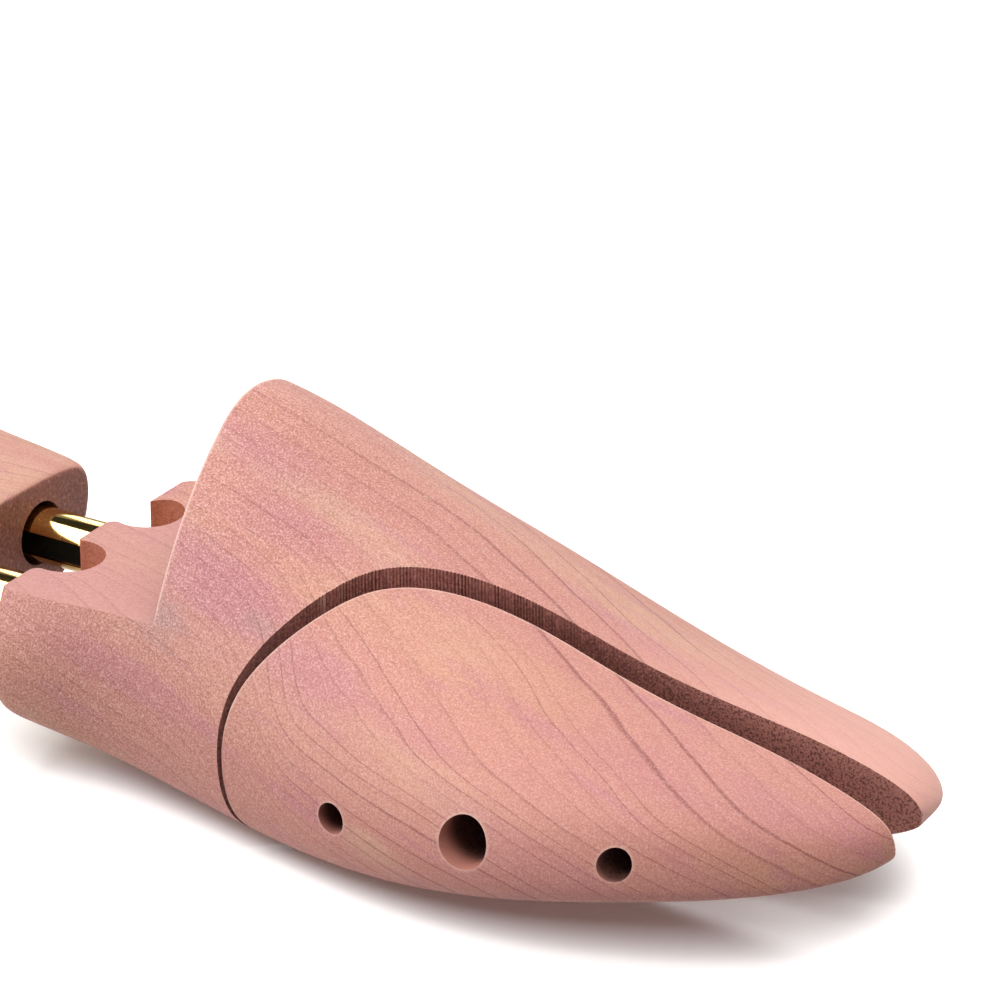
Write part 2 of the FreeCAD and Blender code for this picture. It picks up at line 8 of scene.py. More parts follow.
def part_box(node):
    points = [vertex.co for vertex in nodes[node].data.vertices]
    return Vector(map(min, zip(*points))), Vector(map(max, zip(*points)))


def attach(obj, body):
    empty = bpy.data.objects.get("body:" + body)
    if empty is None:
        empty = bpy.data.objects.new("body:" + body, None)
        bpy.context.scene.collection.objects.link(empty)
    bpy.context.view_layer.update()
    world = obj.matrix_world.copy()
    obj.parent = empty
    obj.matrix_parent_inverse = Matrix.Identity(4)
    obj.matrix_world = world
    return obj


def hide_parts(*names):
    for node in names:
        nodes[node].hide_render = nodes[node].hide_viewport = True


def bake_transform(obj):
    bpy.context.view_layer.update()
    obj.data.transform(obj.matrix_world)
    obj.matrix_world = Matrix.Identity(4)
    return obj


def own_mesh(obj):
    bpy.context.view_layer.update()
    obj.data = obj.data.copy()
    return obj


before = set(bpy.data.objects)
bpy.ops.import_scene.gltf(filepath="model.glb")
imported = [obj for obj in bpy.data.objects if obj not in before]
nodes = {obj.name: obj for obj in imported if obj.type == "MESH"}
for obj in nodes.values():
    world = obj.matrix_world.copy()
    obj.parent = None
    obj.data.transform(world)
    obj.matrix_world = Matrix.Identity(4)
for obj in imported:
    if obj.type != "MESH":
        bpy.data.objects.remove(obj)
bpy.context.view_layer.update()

COL = bpy.context.scene.collection

# The working frame (millimetres) has x = 0 at the rear face of the toe block, y = 0
# midway between the tubes. Its place in the row frame is read from a tube.
tube_lo, tube_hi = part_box("lateral_tube")
SHIFT = np.array([tube_lo[0] * 1000 + 46.0, tube_lo[1] * 1000 + 17.0, tube_lo[2] * 1000 - 21.2])

DECK, STEP, TUBE_Z, TUBE_Y = 36.3, 29.6, 26.2, 12.0
PIVOT, OPEN, KERF = (45.0, -29.1), math.radians(4.574), 0.9
HOLES = {"rear": (71.2, 16.6), "mid": (97.3, 20.4), "front": (122.4, 21.6)}
NOTCH = {-1: ((1.9, -10.0), (1.6, 0.5)), 1: ((3.1, 11.7), (1.6, 0.1))}    # centre, rounding of the two lips

TOE = [
    (-0.50, -0.10, -1.05, 28.80, 24.50, 10.20, 70.80, 2.22, 1.22, 3.14, 1.48),
    (-0.50, -0.10, -1.05, 29.55, 24.70, 8.90, 71.80, 2.25, 1.22, 3.28, 1.45),
    (2.80, 0.15, -0.95, 29.45, 25.40, 7.70, 71.90, 2.35, 1.25, 3.32, 1.49),
    (11.50, 1.30, -0.30, 28.62, 26.90, 5.30, 71.60, 2.64, 1.34, 3.44, 1.65),
    (20.45, 3.07, 0.71, 27.88, 26.68, 3.03, 70.67, 2.81, 1.40, 3.57, 1.81),
    (37.76, 6.05, -0.45, 28.14, 23.17, 0.66, 68.09, 2.77, 1.52, 3.64, 2.16),
    (58.22, 6.68, 0.24, 33.04, 19.05, -0.23, 57.49, 2.54, 1.48, 3.71, 2.68),
    (81.82, 3.79, 1.04, 38.54, 17.27, 2.30, 48.44, 2.25, 1.66, 3.67, 3.18),
    (105.42, -0.32, 1.07, 38.94, 17.55, 7.61, 39.64, 1.91, 2.06, 3.44, 3.34),
    (127.45, -3.70, 2.69, 34.37, 17.80, 12.84, 35.47, 1.58, 2.41, 3.12, 3.08),
    (145.54, -3.93, 5.85, 26.72, 17.80, 16.00, 32.40, 1.60, 2.44, 2.52, 2.59),
    (157.34, -3.10, 4.17, 13.55, 20.60, 20.60, 27.00, 1.72, 2.36, 2.04, 2.18),
    (157.34, 0.00, 3.60, 3.20, 22.40, 21.90, 23.60, 2.00, 2.00, 2.00, 2.00),
]
# The wing stands a little forward of the toe block, so its last stations are its own.
WING_TIP = [
    (146.20, -3.93, 5.85, 26.72, 17.80, 15.00, 32.40, 1.60, 2.44, 2.52, 2.59),
    (158.70, -3.10, 4.17, 13.55, 20.20, 19.40, 27.40, 1.72, 2.36, 2.04, 2.18),
    (158.70, 0.00, 3.60, 3.20, 22.40, 21.20, 24.20, 2.00, 2.00, 2.00, 2.00),
]
HEEL = [
    (-20.5, 0.0, 0.0, 25.8, 29.0, 12.8, 35.0, 3.7, 3.7, 2.1, 2.1),
    (-20.5, 0.0, 0.0, 27.7, 29.0, 10.6, 36.7, 3.7, 3.7, 2.1, 2.1),
    (-23.0, 0.0, 0.0, 28.8, 29.0, 9.2, 37.3, 3.7, 3.7, 2.2, 2.2),
    (-38.0, 0.0, 0.0, 29.9, 29.0, 7.0, 38.9, 3.6, 3.6, 2.4, 2.4),
    (-54.0, 0.0, 0.0, 30.8, 28.0, 4.4, 42.4, 3.4, 3.4, 2.7, 2.7),
    (-70.0, 0.0, 0.0, 29.6, 27.0, 0.2, 46.0, 3.3, 3.3, 2.9, 2.9),
    (-86.0, 0.0, 0.0, 25.4, 27.0, -2.6, 49.2, 3.0, 3.0, 2.9, 2.9),
    (-97.5, 0.0, 0.0, 17.4, 28.0, 2.6, 49.6, 2.6, 2.6, 2.6, 2.6),
    (-100.0, 0.0, 0.0, 8.0, 31.0, 16.0, 44.0, 2.2, 2.2, 2.2, 2.2),
    (-100.0, 0.0, 0.0, 2.0, 31.0, 28.5, 33.5, 2.0, 2.0, 2.0, 2.0),
]
SPLIT = [(41.0, -38.6), (43.2, -33.8), (45.2, -30.2), (47.2, -27.3), (50.0, -24.1),
         (53.8, -20.0), (58.4, -14.8), (62.5, -10.4), (66.4, -7.3), (71.9, -4.2),
         (78.4, -1.6), (85.0, 0.2), (92.6, 1.4), (104.1, 1.9), (114.3, 2.2),
         (124.2, 2.8), (134.3, 3.4), (144.6, 3.9), (151.3, 4.5), (157.1, 5.4),
         (170.0, 7.8)]
NV = 16


# ------------------------------------------------------------------ small maths
def section(row):
    x, crown, mid, half, waist, low, top, el, er, br, bl = row
    pts = []
    for k in range(NV):
        t = 2 * math.pi * k / NV
        c, s = math.cos(t), math.sin(t)
        outer = c >= -1e-9
        side = mid - half if outer else mid + half
        if s >= -1e-9:
            e = er if outer else el
            ym = mid + crown
            y = ym + (side - ym) * abs(c) ** (2 / e)
            z = waist + (top - waist) * abs(s) ** (2 / e) if s > 1e-9 else waist
        else:
            e = br if outer else bl
            y = mid + (side - mid) * abs(c) ** (2 / e)
            z = waist + (low - waist) * abs(s) ** (2 / e)
        pts.append((x, y, z))
    return pts


def clamped_basis(n, u):
    """Cubic B-spline basis with end knots of multiplicity four, at u in 0..n-3."""
    kn = np.concatenate([[0] * 3, np.arange(n - 2), [n - 3] * 3]).astype(float)
    B = np.zeros((len(u), n + 3))
    for i in range(n + 3):
        B[:, i] = (u >= kn[i]) & (u < kn[i + 1])
    B[u >= n - 3, n - 1] = 1.0
    for k in range(1, 4):
        C = np.zeros((len(u), n + 3 - k))
        for i in range(n + 3 - k):
            a, b = kn[i + k] - kn[i], kn[i + k + 1] - kn[i + 1]
            if a > 0:
                C[:, i] += (u - kn[i]) / a * B[:, i]
            if b > 0:
                C[:, i] += (kn[i + k + 1] - u) / b * B[:, i + 1]
        B = C
    return B[:, :n]


def periodic_basis(v):
    B = np.zeros((len(v), NV))
    i = np.floor(v).astype(int)
    w = v - i
    for o, f in ((-1, (1 - w) ** 3 / 6), (0, (3 * w ** 3 - 6 * w ** 2 + 4) / 6),
                 (1, (-3 * w ** 3 + 3 * w ** 2 + 3 * w + 1) / 6), (2, w ** 3 / 6)):
        B[np.arange(len(v)), (i + o) % NV] += f
    return B


def rings(table, u, nv):
    """Closed sections of a form: x is the same all round each one."""
    poles = np.array([section(r) for r in table])
    v = np.arange(nv) * NV / nv
    return np.einsum("ui,vj,ijk->uvk", clamped_basis(len(poles), u), periodic_basis(v), poles, optimize=True)


def form_mesh(name, table, nu=380, nv=260):
    n = len(table)
    fine = np.linspace(0, n - 3, 4000)
    mid = rings(table, fine, NV)
    step = np.linalg.norm(np.diff(mid, axis=0), axis=2).max(axis=1)
    run = np.concatenate([[0], np.cumsum(step)])
    u = np.interp(np.linspace(0, run[-1], nu), run, fine)
    return skin(name, rings(table, u, nv))


def skin(name, P):
    """Closed mesh over a stack of closed sections."""
    nu, nv = P.shape[:2]
    faces = []
    for i in range(nu - 1):
        for j in range(nv):
            k = (j + 1) % nv
            faces.append((i * nv + j, i * nv + k, (i + 1) * nv + k, (i + 1) * nv + j))
    faces.append(tuple(range(nv - 1, -1, -1)))
    faces.append(tuple((nu - 1) * nv + j for j in range(nv)))
    return new_object(name, P.reshape(-1, 3), faces, outward=True)


def wing_mesh(name, table, line, nu, na, nw, nb=5, ease=0.32):
    """The part of a form outside a plan line, with the edge along the cut eased. Returns the object and its two edge lines."""
    n = len(table)
    fine = np.linspace(0, n - 3, 3000)
    S = rings(table, fine, 360)
    gap = np.interp(S[:, 0, 0], line[:, 0], line[:, 1]) - S[:, :, 1].min(axis=1)
    on = np.nonzero((gap > 0) & (S[:, 0, 0] > line[0, 0]))[0]
    ends = []
    for i, o in ((on[0], on[0] - 1), (on[-1], on[-1] + 1)):
        ends.append(fine[i] + (fine[o] - fine[i]) * gap[i] / (gap[i] - gap[o]))
    t = np.linspace(0, 1, nu)
    t = 0.55 * t + 0.45 * (0.5 - 0.5 * np.cos(math.pi * t))
    u = ends[0] + (ends[1] - ends[0]) * (0.0004 + 0.9992 * t)
    S = rings(table, u, 1600)
    f = np.linspace(0, 1, na)
    f = 0.6 * f + 0.4 * (0.5 - 0.5 * np.cos(math.pi * f))
    g = np.arange(1, nb + 1) / (nb + 1)
    out, crest = [], []
    for s in S:
        x, Y, Z = s[0, 0], s[:, 1], s[:, 2]
        yl = float(np.interp(x, line[:, 0], line[:, 1]))
        k0 = int(Y.argmin())
        halves = []
        for step in (-1, 1):
            idx = (k0 + step * np.arange(len(Y) // 2)) % len(Y)
            j = max(int((Y[idx] > yl).argmax()), 1)
            a, b = idx[j - 1], idx[j]
            w = np.clip((yl - Y[a]) / max(Y[b] - Y[a], 1e-9), 0, 1)
            halves.append(np.vstack([np.column_stack([Y[idx[:j]], Z[idx[:j]]]), [[yl, Z[a] + w * (Z[b] - Z[a])]]]))
        arc = np.vstack([halves[0][::-1], halves[1][1:]])
        run = np.concatenate([[0], np.cumsum(np.linalg.norm(np.diff(arc, axis=0), axis=1))])
        lo, hi = arc[0], arc[-1]
        rho = min(ease, 0.2 * run[-1], 0.25 * (hi[1] - lo[1]))
        at = lambda d: np.column_stack([np.interp(d, run, arc[:, 0]), np.interp(d, run, arc[:, 1])])
        body = at(rho + (run[-1] - 2 * rho) * f)
        wt, wb = np.array([yl, hi[1] - rho]), np.array([yl, lo[1] + rho])
        bez = lambda p, c, q: (1 - g)[:, None] ** 2 * p + (2 * g * (1 - g))[:, None] * c + g[:, None] ** 2 * q
        wall = wt + np.linspace(0, 1, nw)[:, None] * (wb - wt)
        ring = np.vstack([body, bez(body[-1], hi, wt), wall, bez(wb, lo, body[0])])
        out.append(np.column_stack([np.full(len(ring), x), ring]))
        crest.append([(x, *hi), (x, *lo)])
    crest = np.array(crest)
    return skin(name, np.array(out)), crest.reshape(-1, 3)


def new_object(name, verts, faces, outward=False):
    me = bpy.data.meshes.new(name)
    me.from_pydata([tuple(map(float, p)) for p in verts], [], faces)
    if outward:
        bm = bmesh.new()
        bm.from_mesh(me)
        bmesh.ops.recalc_face_normals(bm, faces=bm.faces)
        bm.to_mesh(me)
        bm.free()
    o = bpy.data.objects.new(name, me)
    COL.objects.link(o)
    return o


def prism(name, outline, z0, z1):
    n = len(outline)
    verts = [(x, y, z0) for x, y in outline] + [(x, y, z1) for x, y in outline]
    faces = [tuple(range(n - 1, -1, -1)), tuple(range(n, 2 * n))]
    faces += [(i, (i + 1) % n, n + (i + 1) % n, n + i) for i in range(n)]
    return new_object(name, verts, faces, outward=True)


def rod(name, a, b, r, seg=72):
    """Solid cylinder from point a to point b."""
    a, b = Vector(a), Vector(b)
    bm = bmesh.new()
    bmesh.ops.create_cone(bm, cap_ends=True, segments=seg, radius1=r, radius2=r, depth=(b - a).length)
    m = Matrix.Translation((a + b) / 2) @ (b - a).to_track_quat("Z", "Y").to_matrix().to_4x4()
    bmesh.ops.transform(bm, matrix=m, verts=bm.verts)
    me = bpy.data.meshes.new(name)
    bm.to_mesh(me)
    bm.free()
    o = bpy.data.objects.new(name, me)
    COL.objects.link(o)
    return o


def boolean(o, tool, op="DIFFERENCE"):
    m = o.modifiers.new("b", "BOOLEAN")
    m.operation = op
    m.solver = "MANIFOLD"
    m.object = tool
    bake(o)
    bpy.data.objects.remove(tool)


def bake(o):
    dg = bpy.context.evaluated_depsgraph_get()
    me = bpy.data.meshes.new_from_object(o.evaluated_get(dg))
    o.modifiers.clear()
    old = o.data
    o.data = me
    bpy.data.meshes.remove(old)


def coords(me):
    a = np.empty(len(me.vertices) * 3)
    me.vertices.foreach_get("co", a)
    return a.reshape(-1, 3)


def normals(me):
    a = np.empty(len(me.vertices) * 3)
    me.vertex_normals.foreach_get("vector", a)
    return a.reshape(-1, 3)


def set_coords(me, P):
    me.vertices.foreach_set("co", np.ascontiguousarray(P, dtype=np.float32).ravel())
    me.update()


def attribute(me, name, values, domain="POINT"):
    at = me.attributes.new(name, "FLOAT", domain)
    at.data.foreach_set("value", np.ascontiguousarray(values, dtype=np.float32))


def lattice(ix, iy, iz, seed):
    h = (ix * 374761393 + iy * 668265263 + iz * 2147483647 + seed * 974634777) & 0xFFFFFFFF
    h = ((h ^ (h >> 13)) * 1274126177) & 0xFFFFFFFF
    h = ((h ^ (h >> 16)) * 2246822519) & 0xFFFFFFFF
    return ((h ^ (h >> 15)) & 0xFFFFFF) / float(0xFFFFFF)


def noise(P, scale, seed=0):
    """Smooth value noise in -1..1 at points P."""
    q = P * scale
    i = np.floor(q).astype(np.int64)
    f = q - i
    f = f * f * f * (f * (f * 6 - 15) + 10)
    out = np.zeros(len(P))
    for dx in (0, 1):
        for dy in (0, 1):
            for dz in (0, 1):
                w = (f[:, 0] if dx else 1 - f[:, 0]) * (f[:, 1] if dy else 1 - f[:, 1]) * (f[:, 2] if dz else 1 - f[:, 2])
                out += w * lattice(i[:, 0] + dx, i[:, 1] + dy, i[:, 2] + dz, seed)
    return out * 2 - 1


def near_curve(P, curve):
    """Signed plan distance of points to a polyline (left of it positive)."""
    best = np.full(len(P), 1e9)
    sign = np.zeros(len(P))
    for k in range(len(curve) - 1):
        d = curve[k + 1] - curve[k]
        r = P[:, :2] - curve[k]
        t = np.clip((r @ d) / (d @ d), 0, 1)
        e = np.linalg.norm(r - t[:, None] * d, axis=1)
        m = e < best
        best[m] = e[m]
        sign[m] = np.sign(d[0] * r[:, 1] - d[1] * r[:, 0])[m]
    return best * sign


def smooth_line(points, n):
    """Natural cubic spline through points, by chord length."""
    p = np.array(points, float)
    t = np.concatenate([[0], np.cumsum(np.linalg.norm(np.diff(p, axis=0), axis=1))])
    h = np.diff(t)
    m = len(p)
    A = np.eye(m)
    R = np.zeros((m, 2))
    for i in range(1, m - 1):
        A[i, i - 1], A[i, i], A[i, i + 1] = h[i - 1], 2 * (h[i - 1] + h[i]), h[i]
        R[i] = 6 * ((p[i + 1] - p[i]) / h[i] - (p[i] - p[i - 1]) / h[i - 1])
    M = np.linalg.solve(A, R)
    s = np.linspace(0, t[-1], n)
    k = np.clip(np.searchsorted(t, s, side="right") - 1, 0, m - 2)
    a, b = (t[k + 1] - s) / h[k], (s - t[k]) / h[k]
    return (a[:, None] * p[k] + b[:, None] * p[k + 1]
            + ((a ** 3 - a)[:, None] * M[k] + (b ** 3 - b)[:, None] * M[k + 1]) * (h[k] ** 2)[:, None] / 6)


main_line = smooth_line(SPLIT, 700)
tan = np.gradient(main_line, axis=0)
tan /= np.linalg.norm(tan, axis=1)[:, None]
off = main_line + KERF * np.column_stack([tan[:, 1], -tan[:, 0]])
ct, st = math.cos(OPEN), math.sin(OPEN)
rel = off - np.array(PIVOT)
wing_line = np.array(PIVOT) + np.column_stack([ct * rel[:, 0] + st * rel[:, 1], -st * rel[:, 0] + ct * rel[:, 1]])


def sawn_line(line, period, depth, seed):
    """A plan line with the marks of the blade: shallow upright ridges of uneven depth."""
    run = np.concatenate([[0], np.cumsum(np.linalg.norm(np.diff(line, axis=0), axis=1))])
    s = np.arange(0, run[-1], period / 6)
    p = np.column_stack([np.interp(s, run, line[:, 0]), np.interp(s, run, line[:, 1])])
    t = np.gradient(p, axis=0)
    t /= np.linalg.norm(t, axis=1)[:, None]
    k = np.column_stack([s, 0 * s, 0 * s])
    h = depth * (0.7 + 0.5 * noise(k, 0.8, seed)) * np.sin(2 * math.pi * s / period + 1.6 * noise(k, 0.25, seed + 1))
    h *= ramp(p[:, 0], 50.0, 62.0) * (1 - 0.75 * ramp(p[:, 0], 84.0, 112.0))
    return p + (h + 0.3 * depth * noise(k, 2.4, seed + 2))[:, None] * np.column_stack([-t[:, 1], t[:, 0]])


def outer_side(line):
    return [tuple(p) for p in line] + [(line[-1][0], -70.0), (line[0][0], -70.0)]


def box_solid(name, lo, hi):
    return prism(name, [(lo[0], lo[1]), (hi[0], lo[1]), (hi[0], hi[1]), (lo[0], hi[1])], lo[2], hi[2])


# --------------------------------------------------------------- wooden pieces
def ramp(x, a, b):
    t = np.clip((x - a) / (b - a), 0, 1)
    return t * t * (3 - 2 * t)


def radial(P, axis, c0, c1):
    i, j = {"x": (1, 2), "y": (0, 2), "z": (0, 1)}[axis]
    return np.hypot(P[:, i] - c0, P[:, j] - c1)


def hand_sanded(o, marks=()):
    """Long shallow waves left by sanding, and small torn places: (centre, length, width, depth, slope of the tear)."""
    me = o.data
    P, N = coords(me), normals(me)
    push = 0.045 * noise(P * np.array([0.6, 1, 1]), 0.06, 3) + 0.012 * noise(P * np.array([0.3, 1, 1]), 0.5, 4) - 0.06
    for c, length, width, depth, slope in marks:
        d = P - np.array(c)
        a = d @ np.array([math.cos(slope), 0, -math.sin(slope)])
        b = d @ np.array([math.sin(slope), 0, math.cos(slope)])
        near = np.exp(-(a / length) ** 2 - (b / width) ** 2) * (np.abs(d[:, 1]) < 9)
        push -= depth * near * (0.75 + 0.5 * noise(P, 1.3, 11))
    set_coords(me, P + N * push[:, None])


def faces_of(me):
    n = len(me.polygons)
    c, v = np.empty(n * 3), np.empty(n * 3)
    me.polygons.foreach_get("center", c)
    me.polygons.foreach_get("normal", v)
    return c.reshape(-1, 3), v.reshape(-1, 3)


def near_points(P, Q, limit):
    from mathutils.kdtree import KDTree
    tree = KDTree(len(Q))
    for i, p in enumerate(Q):
        tree.insert(p, i)
    tree.balance()
    lo, hi = Q.min(0) - limit, Q.max(0) + limit
    out = np.full(len(P), 1e9)
    for i in np.nonzero(((P > lo) & (P < hi)).all(axis=1))[0]:
        out[i] = tree.find(P[i])[2]
    return out


def finish_wood(o, name, body, curve=None, crest=None, bored=None, scallop=None, flat=None, rims=False):
    """Masks for the material, and the move to the row frame."""
    me = o.data
    P = coords(me)
    C, N = faces_of(me)
    sawn, groove = np.zeros(len(C)), np.zeros(len(P))
    if curve is not None:
        i = np.nonzero(np.abs(N[:, 2]) < 0.3)[0]
        t = np.gradient(curve, axis=0)
        t /= np.linalg.norm(t, axis=1)[:, None]
        along = sum(N[i, k] * np.interp(C[i, 0], curve[:, 0], t[:, k]) for k in (0, 1))
        early = C[i, 0] < 60
        sawn[i] = (np.abs(near_curve(C[i], curve)) < np.where(early, 0.18, 0.4)) & (~early | (np.abs(along) < 0.5))
        i = np.unique([v for k in np.nonzero(sawn)[0] for v in me.polygons[k].vertices])
        groove[i] = near_curve(P[i], curve)
    attribute(me, "sawn", sawn, "FACE")
    attribute(me, "groove", groove)
    for key, f in (("bored", bored), ("scallop", scallop), ("flat", flat)):
        attribute(me, key, f(C, N).astype(float) * (1 - sawn) if f else np.zeros(len(C)), "FACE")
    # edge: where the painted highlight goes, along the eased edges and the rims of the holes
    edge = np.zeros(len(P))
    if crest is not None:
        edge = 1 - ramp(near_points(P, crest, 1.0), 0.12, 0.5)
    if rims:
        inner = bored(C, N)
        a, b = ({v for k in np.nonzero(m)[0] for v in me.polygons[k].vertices} for m in (inner, ~inner))
        rim_highlight = P[sorted(a & b)]
        if len(rim_highlight):
            edge = np.maximum(edge, 0.5 - 0.5 * ramp(near_points(P, rim_highlight, 1.0), 0.1, 0.45))
    attribute(me, "edge", edge)
    set_coords(me, (P + SHIFT) / 1000.0)
    for p in me.polygons:
        p.use_smooth = True
    me.set_sharp_from_angle(angle=math.radians(38))
    o.name = name
    me.name = name
    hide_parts(name.replace("_wood", ""))
    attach(o, body)
    return o


def notch(c, r, face, lips):
    """Plan outline of a drilled notch whose lips are rounded into the rear face."""
    arcs = []
    for side, rho in ((-1, lips[0]), (1, lips[1])):
        fx = face + rho
        fy = c[1] + side * math.sqrt((r + rho) ** 2 - (fx - c[0]) ** 2)
        a = -side * math.pi
        b = math.atan2(c[1] - fy, c[0] - fx)
        arcs.append([(-12.0, fy)] + [(fx + rho * math.cos(a + (b - a) * k / 10), fy + rho * math.sin(a + (b - a) * k / 10)) for k in range(11)])
    t0, t1 = (math.atan2(q[-1][1] - c[1], q[-1][0] - c[0]) for q in arcs)
    round_part = [(c[0] + r * math.cos(t0 + (t1 - t0) * k / 60), c[1] + r * math.sin(t0 + (t1 - t0) * k / 60)) for k in range(1, 60)]
    return np.array(arcs[0] + round_part + arcs[1][::-1])


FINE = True
# toe block
toe = form_mesh("toe", TOE, *((420, 300) if FINE else (240, 170)))
TORN = [((35.6, -24.6, 35.6), 1.4, 0.35, 0.16, 0.9), ((36.0, -25.3, 33.6), 1.0, 0.3, 0.18, 1.0), ((34.3, -26.0, 32.0), 0.9, 0.35, 0.14, 0.7),
        ((33.4, -26.6, 29.2), 0.8, 0.3, 0.12, 1.0), ((43.4, -27.4, 30.0), 0.5, 0.3, 0.16, 0.8), ((45.2, -27.2, 29.6), 0.4, 0.25, 0.14, 0.8)]
hand_sanded(toe, TORN)
boolean(toe, prism("t1", outer_side(sawn_line(main_line, 0.56 if FINE else 1.2, 0.10, 21)), -20, 110))
boolean(toe, box_solid("t2", (-10, -60, DECK), (STEP, 60, 120)))
worn = [(-0.44 + 7.5 * k / 12, DECK - 1.1 * (1 - k / 12) ** 2) for k in range(13)]
worn = [(-6.0, DECK - 1.1)] + worn + [(7.2, DECK + 6), (-6.0, DECK + 6)]
m = len(worn)
boolean(toe, new_object("t7", [(x, 16.5, z) for x, z in worn] + [(x, 45.0, z) for x, z in worn],
                        [tuple(range(m - 1, -1, -1)), tuple(range(m, 2 * m))] + [(i, (i + 1) % m, m + (i + 1) % m, m + i) for i in range(m)], outward=True))
cuts = [notch(c, 6.4, -0.44, lips) for c, lips in NOTCH.values()]
for cut in cuts:
    boolean(toe, prism("t3", [tuple(v) for v in cut], -20, 60))
for s in (-1, 1):
    boolean(toe, rod("t4", (-2, s * TUBE_Y, TUBE_Z), (42, s * TUBE_Y, TUBE_Z), 5.02, 96))
boolean(toe, rod("t5", (9.4, 20, TUBE_Z), (9.4, 45, TUBE_Z), 3.2, 64))
boolean(toe, rod("t6", (HOLES["mid"][0], -20, HOLES["mid"][1]), (HOLES["mid"][0], 13, HOLES["mid"][1]), 4.0, 64))


def toe_bored(P, N):
    m = (radial(P, "y", 9.4, TUBE_Z) < 3.25) & (P[:, 1] > 19.9) & (np.abs(N[:, 1]) < 0.5)
    m |= (radial(P, "y", *HOLES["mid"]) < 4.05) & (P[:, 1] > 1.2) & (P[:, 1] < 13.2)
    for s in (-1, 1):
        m |= (radial(P, "x", s * TUBE_Y, TUBE_Z) < 5.1) & (P[:, 0] < 43)
    return m


def toe_scallop(P, N):
    m = np.zeros(len(P), bool)
    i = np.nonzero((np.abs(N[:, 2]) < 0.2) & (P[:, 0] > -0.4) & (P[:, 0] < 11))[0]
    for cut in cuts:
        m[i] |= np.abs(near_curve(P[i], cut)) < 0.06
    return m


def toe_flat(P, N):
    return ((np.abs(P[:, 2] - DECK) < 0.01) & (N[:, 2] > 0.99)) | ((np.abs(P[:, 0] - STEP) < 0.01) & (np.abs(N[:, 0]) > 0.99))


P = coords(toe.data)
hump = P[(np.abs(P[:, 0] - STEP) < 0.02) & (P[:, 2] > DECK + 0.3)]
toe = finish_wood(toe, "toe_body_wood", "forepart", curve=main_line, crest=hump, bored=toe_bored, scallop=toe_scallop, flat=toe_flat)

# split wing
wing, crest = wing_mesh("wing", TOE[:-3] + WING_TIP, wing_line, *((460, 170, 40) if FINE else (240, 100, 20)))
hand_sanded(wing)
for h in ("rear", "front"):
    hx, hz = HOLES[h]
    boolean(wing, rod("w2", (hx, -62, hz), (hx, -22, hz), 2.7, 72))
    boolean(wing, rod("w3", (hx + 0.55, -23, hz), (hx + 0.55, 20, hz), 2.05, 48))
    boolean(wing, rod("w4", (hx + 0.55, -17, hz), (hx + 0.55, 20, hz), 4.4, 48))
boolean(wing, rod("w5", (HOLES["mid"][0], -62, HOLES["mid"][1]), (HOLES["mid"][0], 20, HOLES["mid"][1]), 4.35, 72))


def wing_bored(P, N):
    m = np.zeros(len(P), bool)
    for h, r in (("rear", 2.75), ("front", 2.75), ("mid", 4.4)):
        m |= (radial(P, "y", *HOLES[h]) < r)
    return m & (np.abs(N[:, 1]) < 0.3)


wing = finish_wood(wing, "toe_wing_wood", "wing", curve=wing_line, crest=crest, bored=wing_bored, rims=True)

# heel block
heel = form_mesh("heel", HEEL, *((280, 220) if FINE else (160, 130)))
hand_sanded(heel)
floor_z = -SHIFT[2]
boolean(heel, box_solid("h1", (-130, -60, floor_z - 40), (10, 60, floor_z + 0.02)))
for s in (-1, 1):
    boolean(heel, rod("h2", (-85, s * TUBE_Y, TUBE_Z), (-10, s * TUBE_Y, TUBE_Z), 5.85, 96))
boolean(heel, rod("h3", (-29.4, 22.5, TUBE_Z), (-29.4, 45, TUBE_Z), 3.0, 64))


def heel_bored(P, N):
    m = np.zeros(len(P), bool)
    for s in (-1, 1):
        m |= (radial(P, "x", s * TUBE_Y, TUBE_Z) < 5.9) & (P[:, 0] < -20.6) & (P[:, 0] > -85.3)
    m |= (radial(P, "y", -29.4, TUBE_Z) < 3.05) & (P[:, 1] > 22.4) & (np.abs(N[:, 1]) < 0.5)
    return m


heel = finish_wood(heel, "heel_block_wood", "heel", bored=heel_bored)


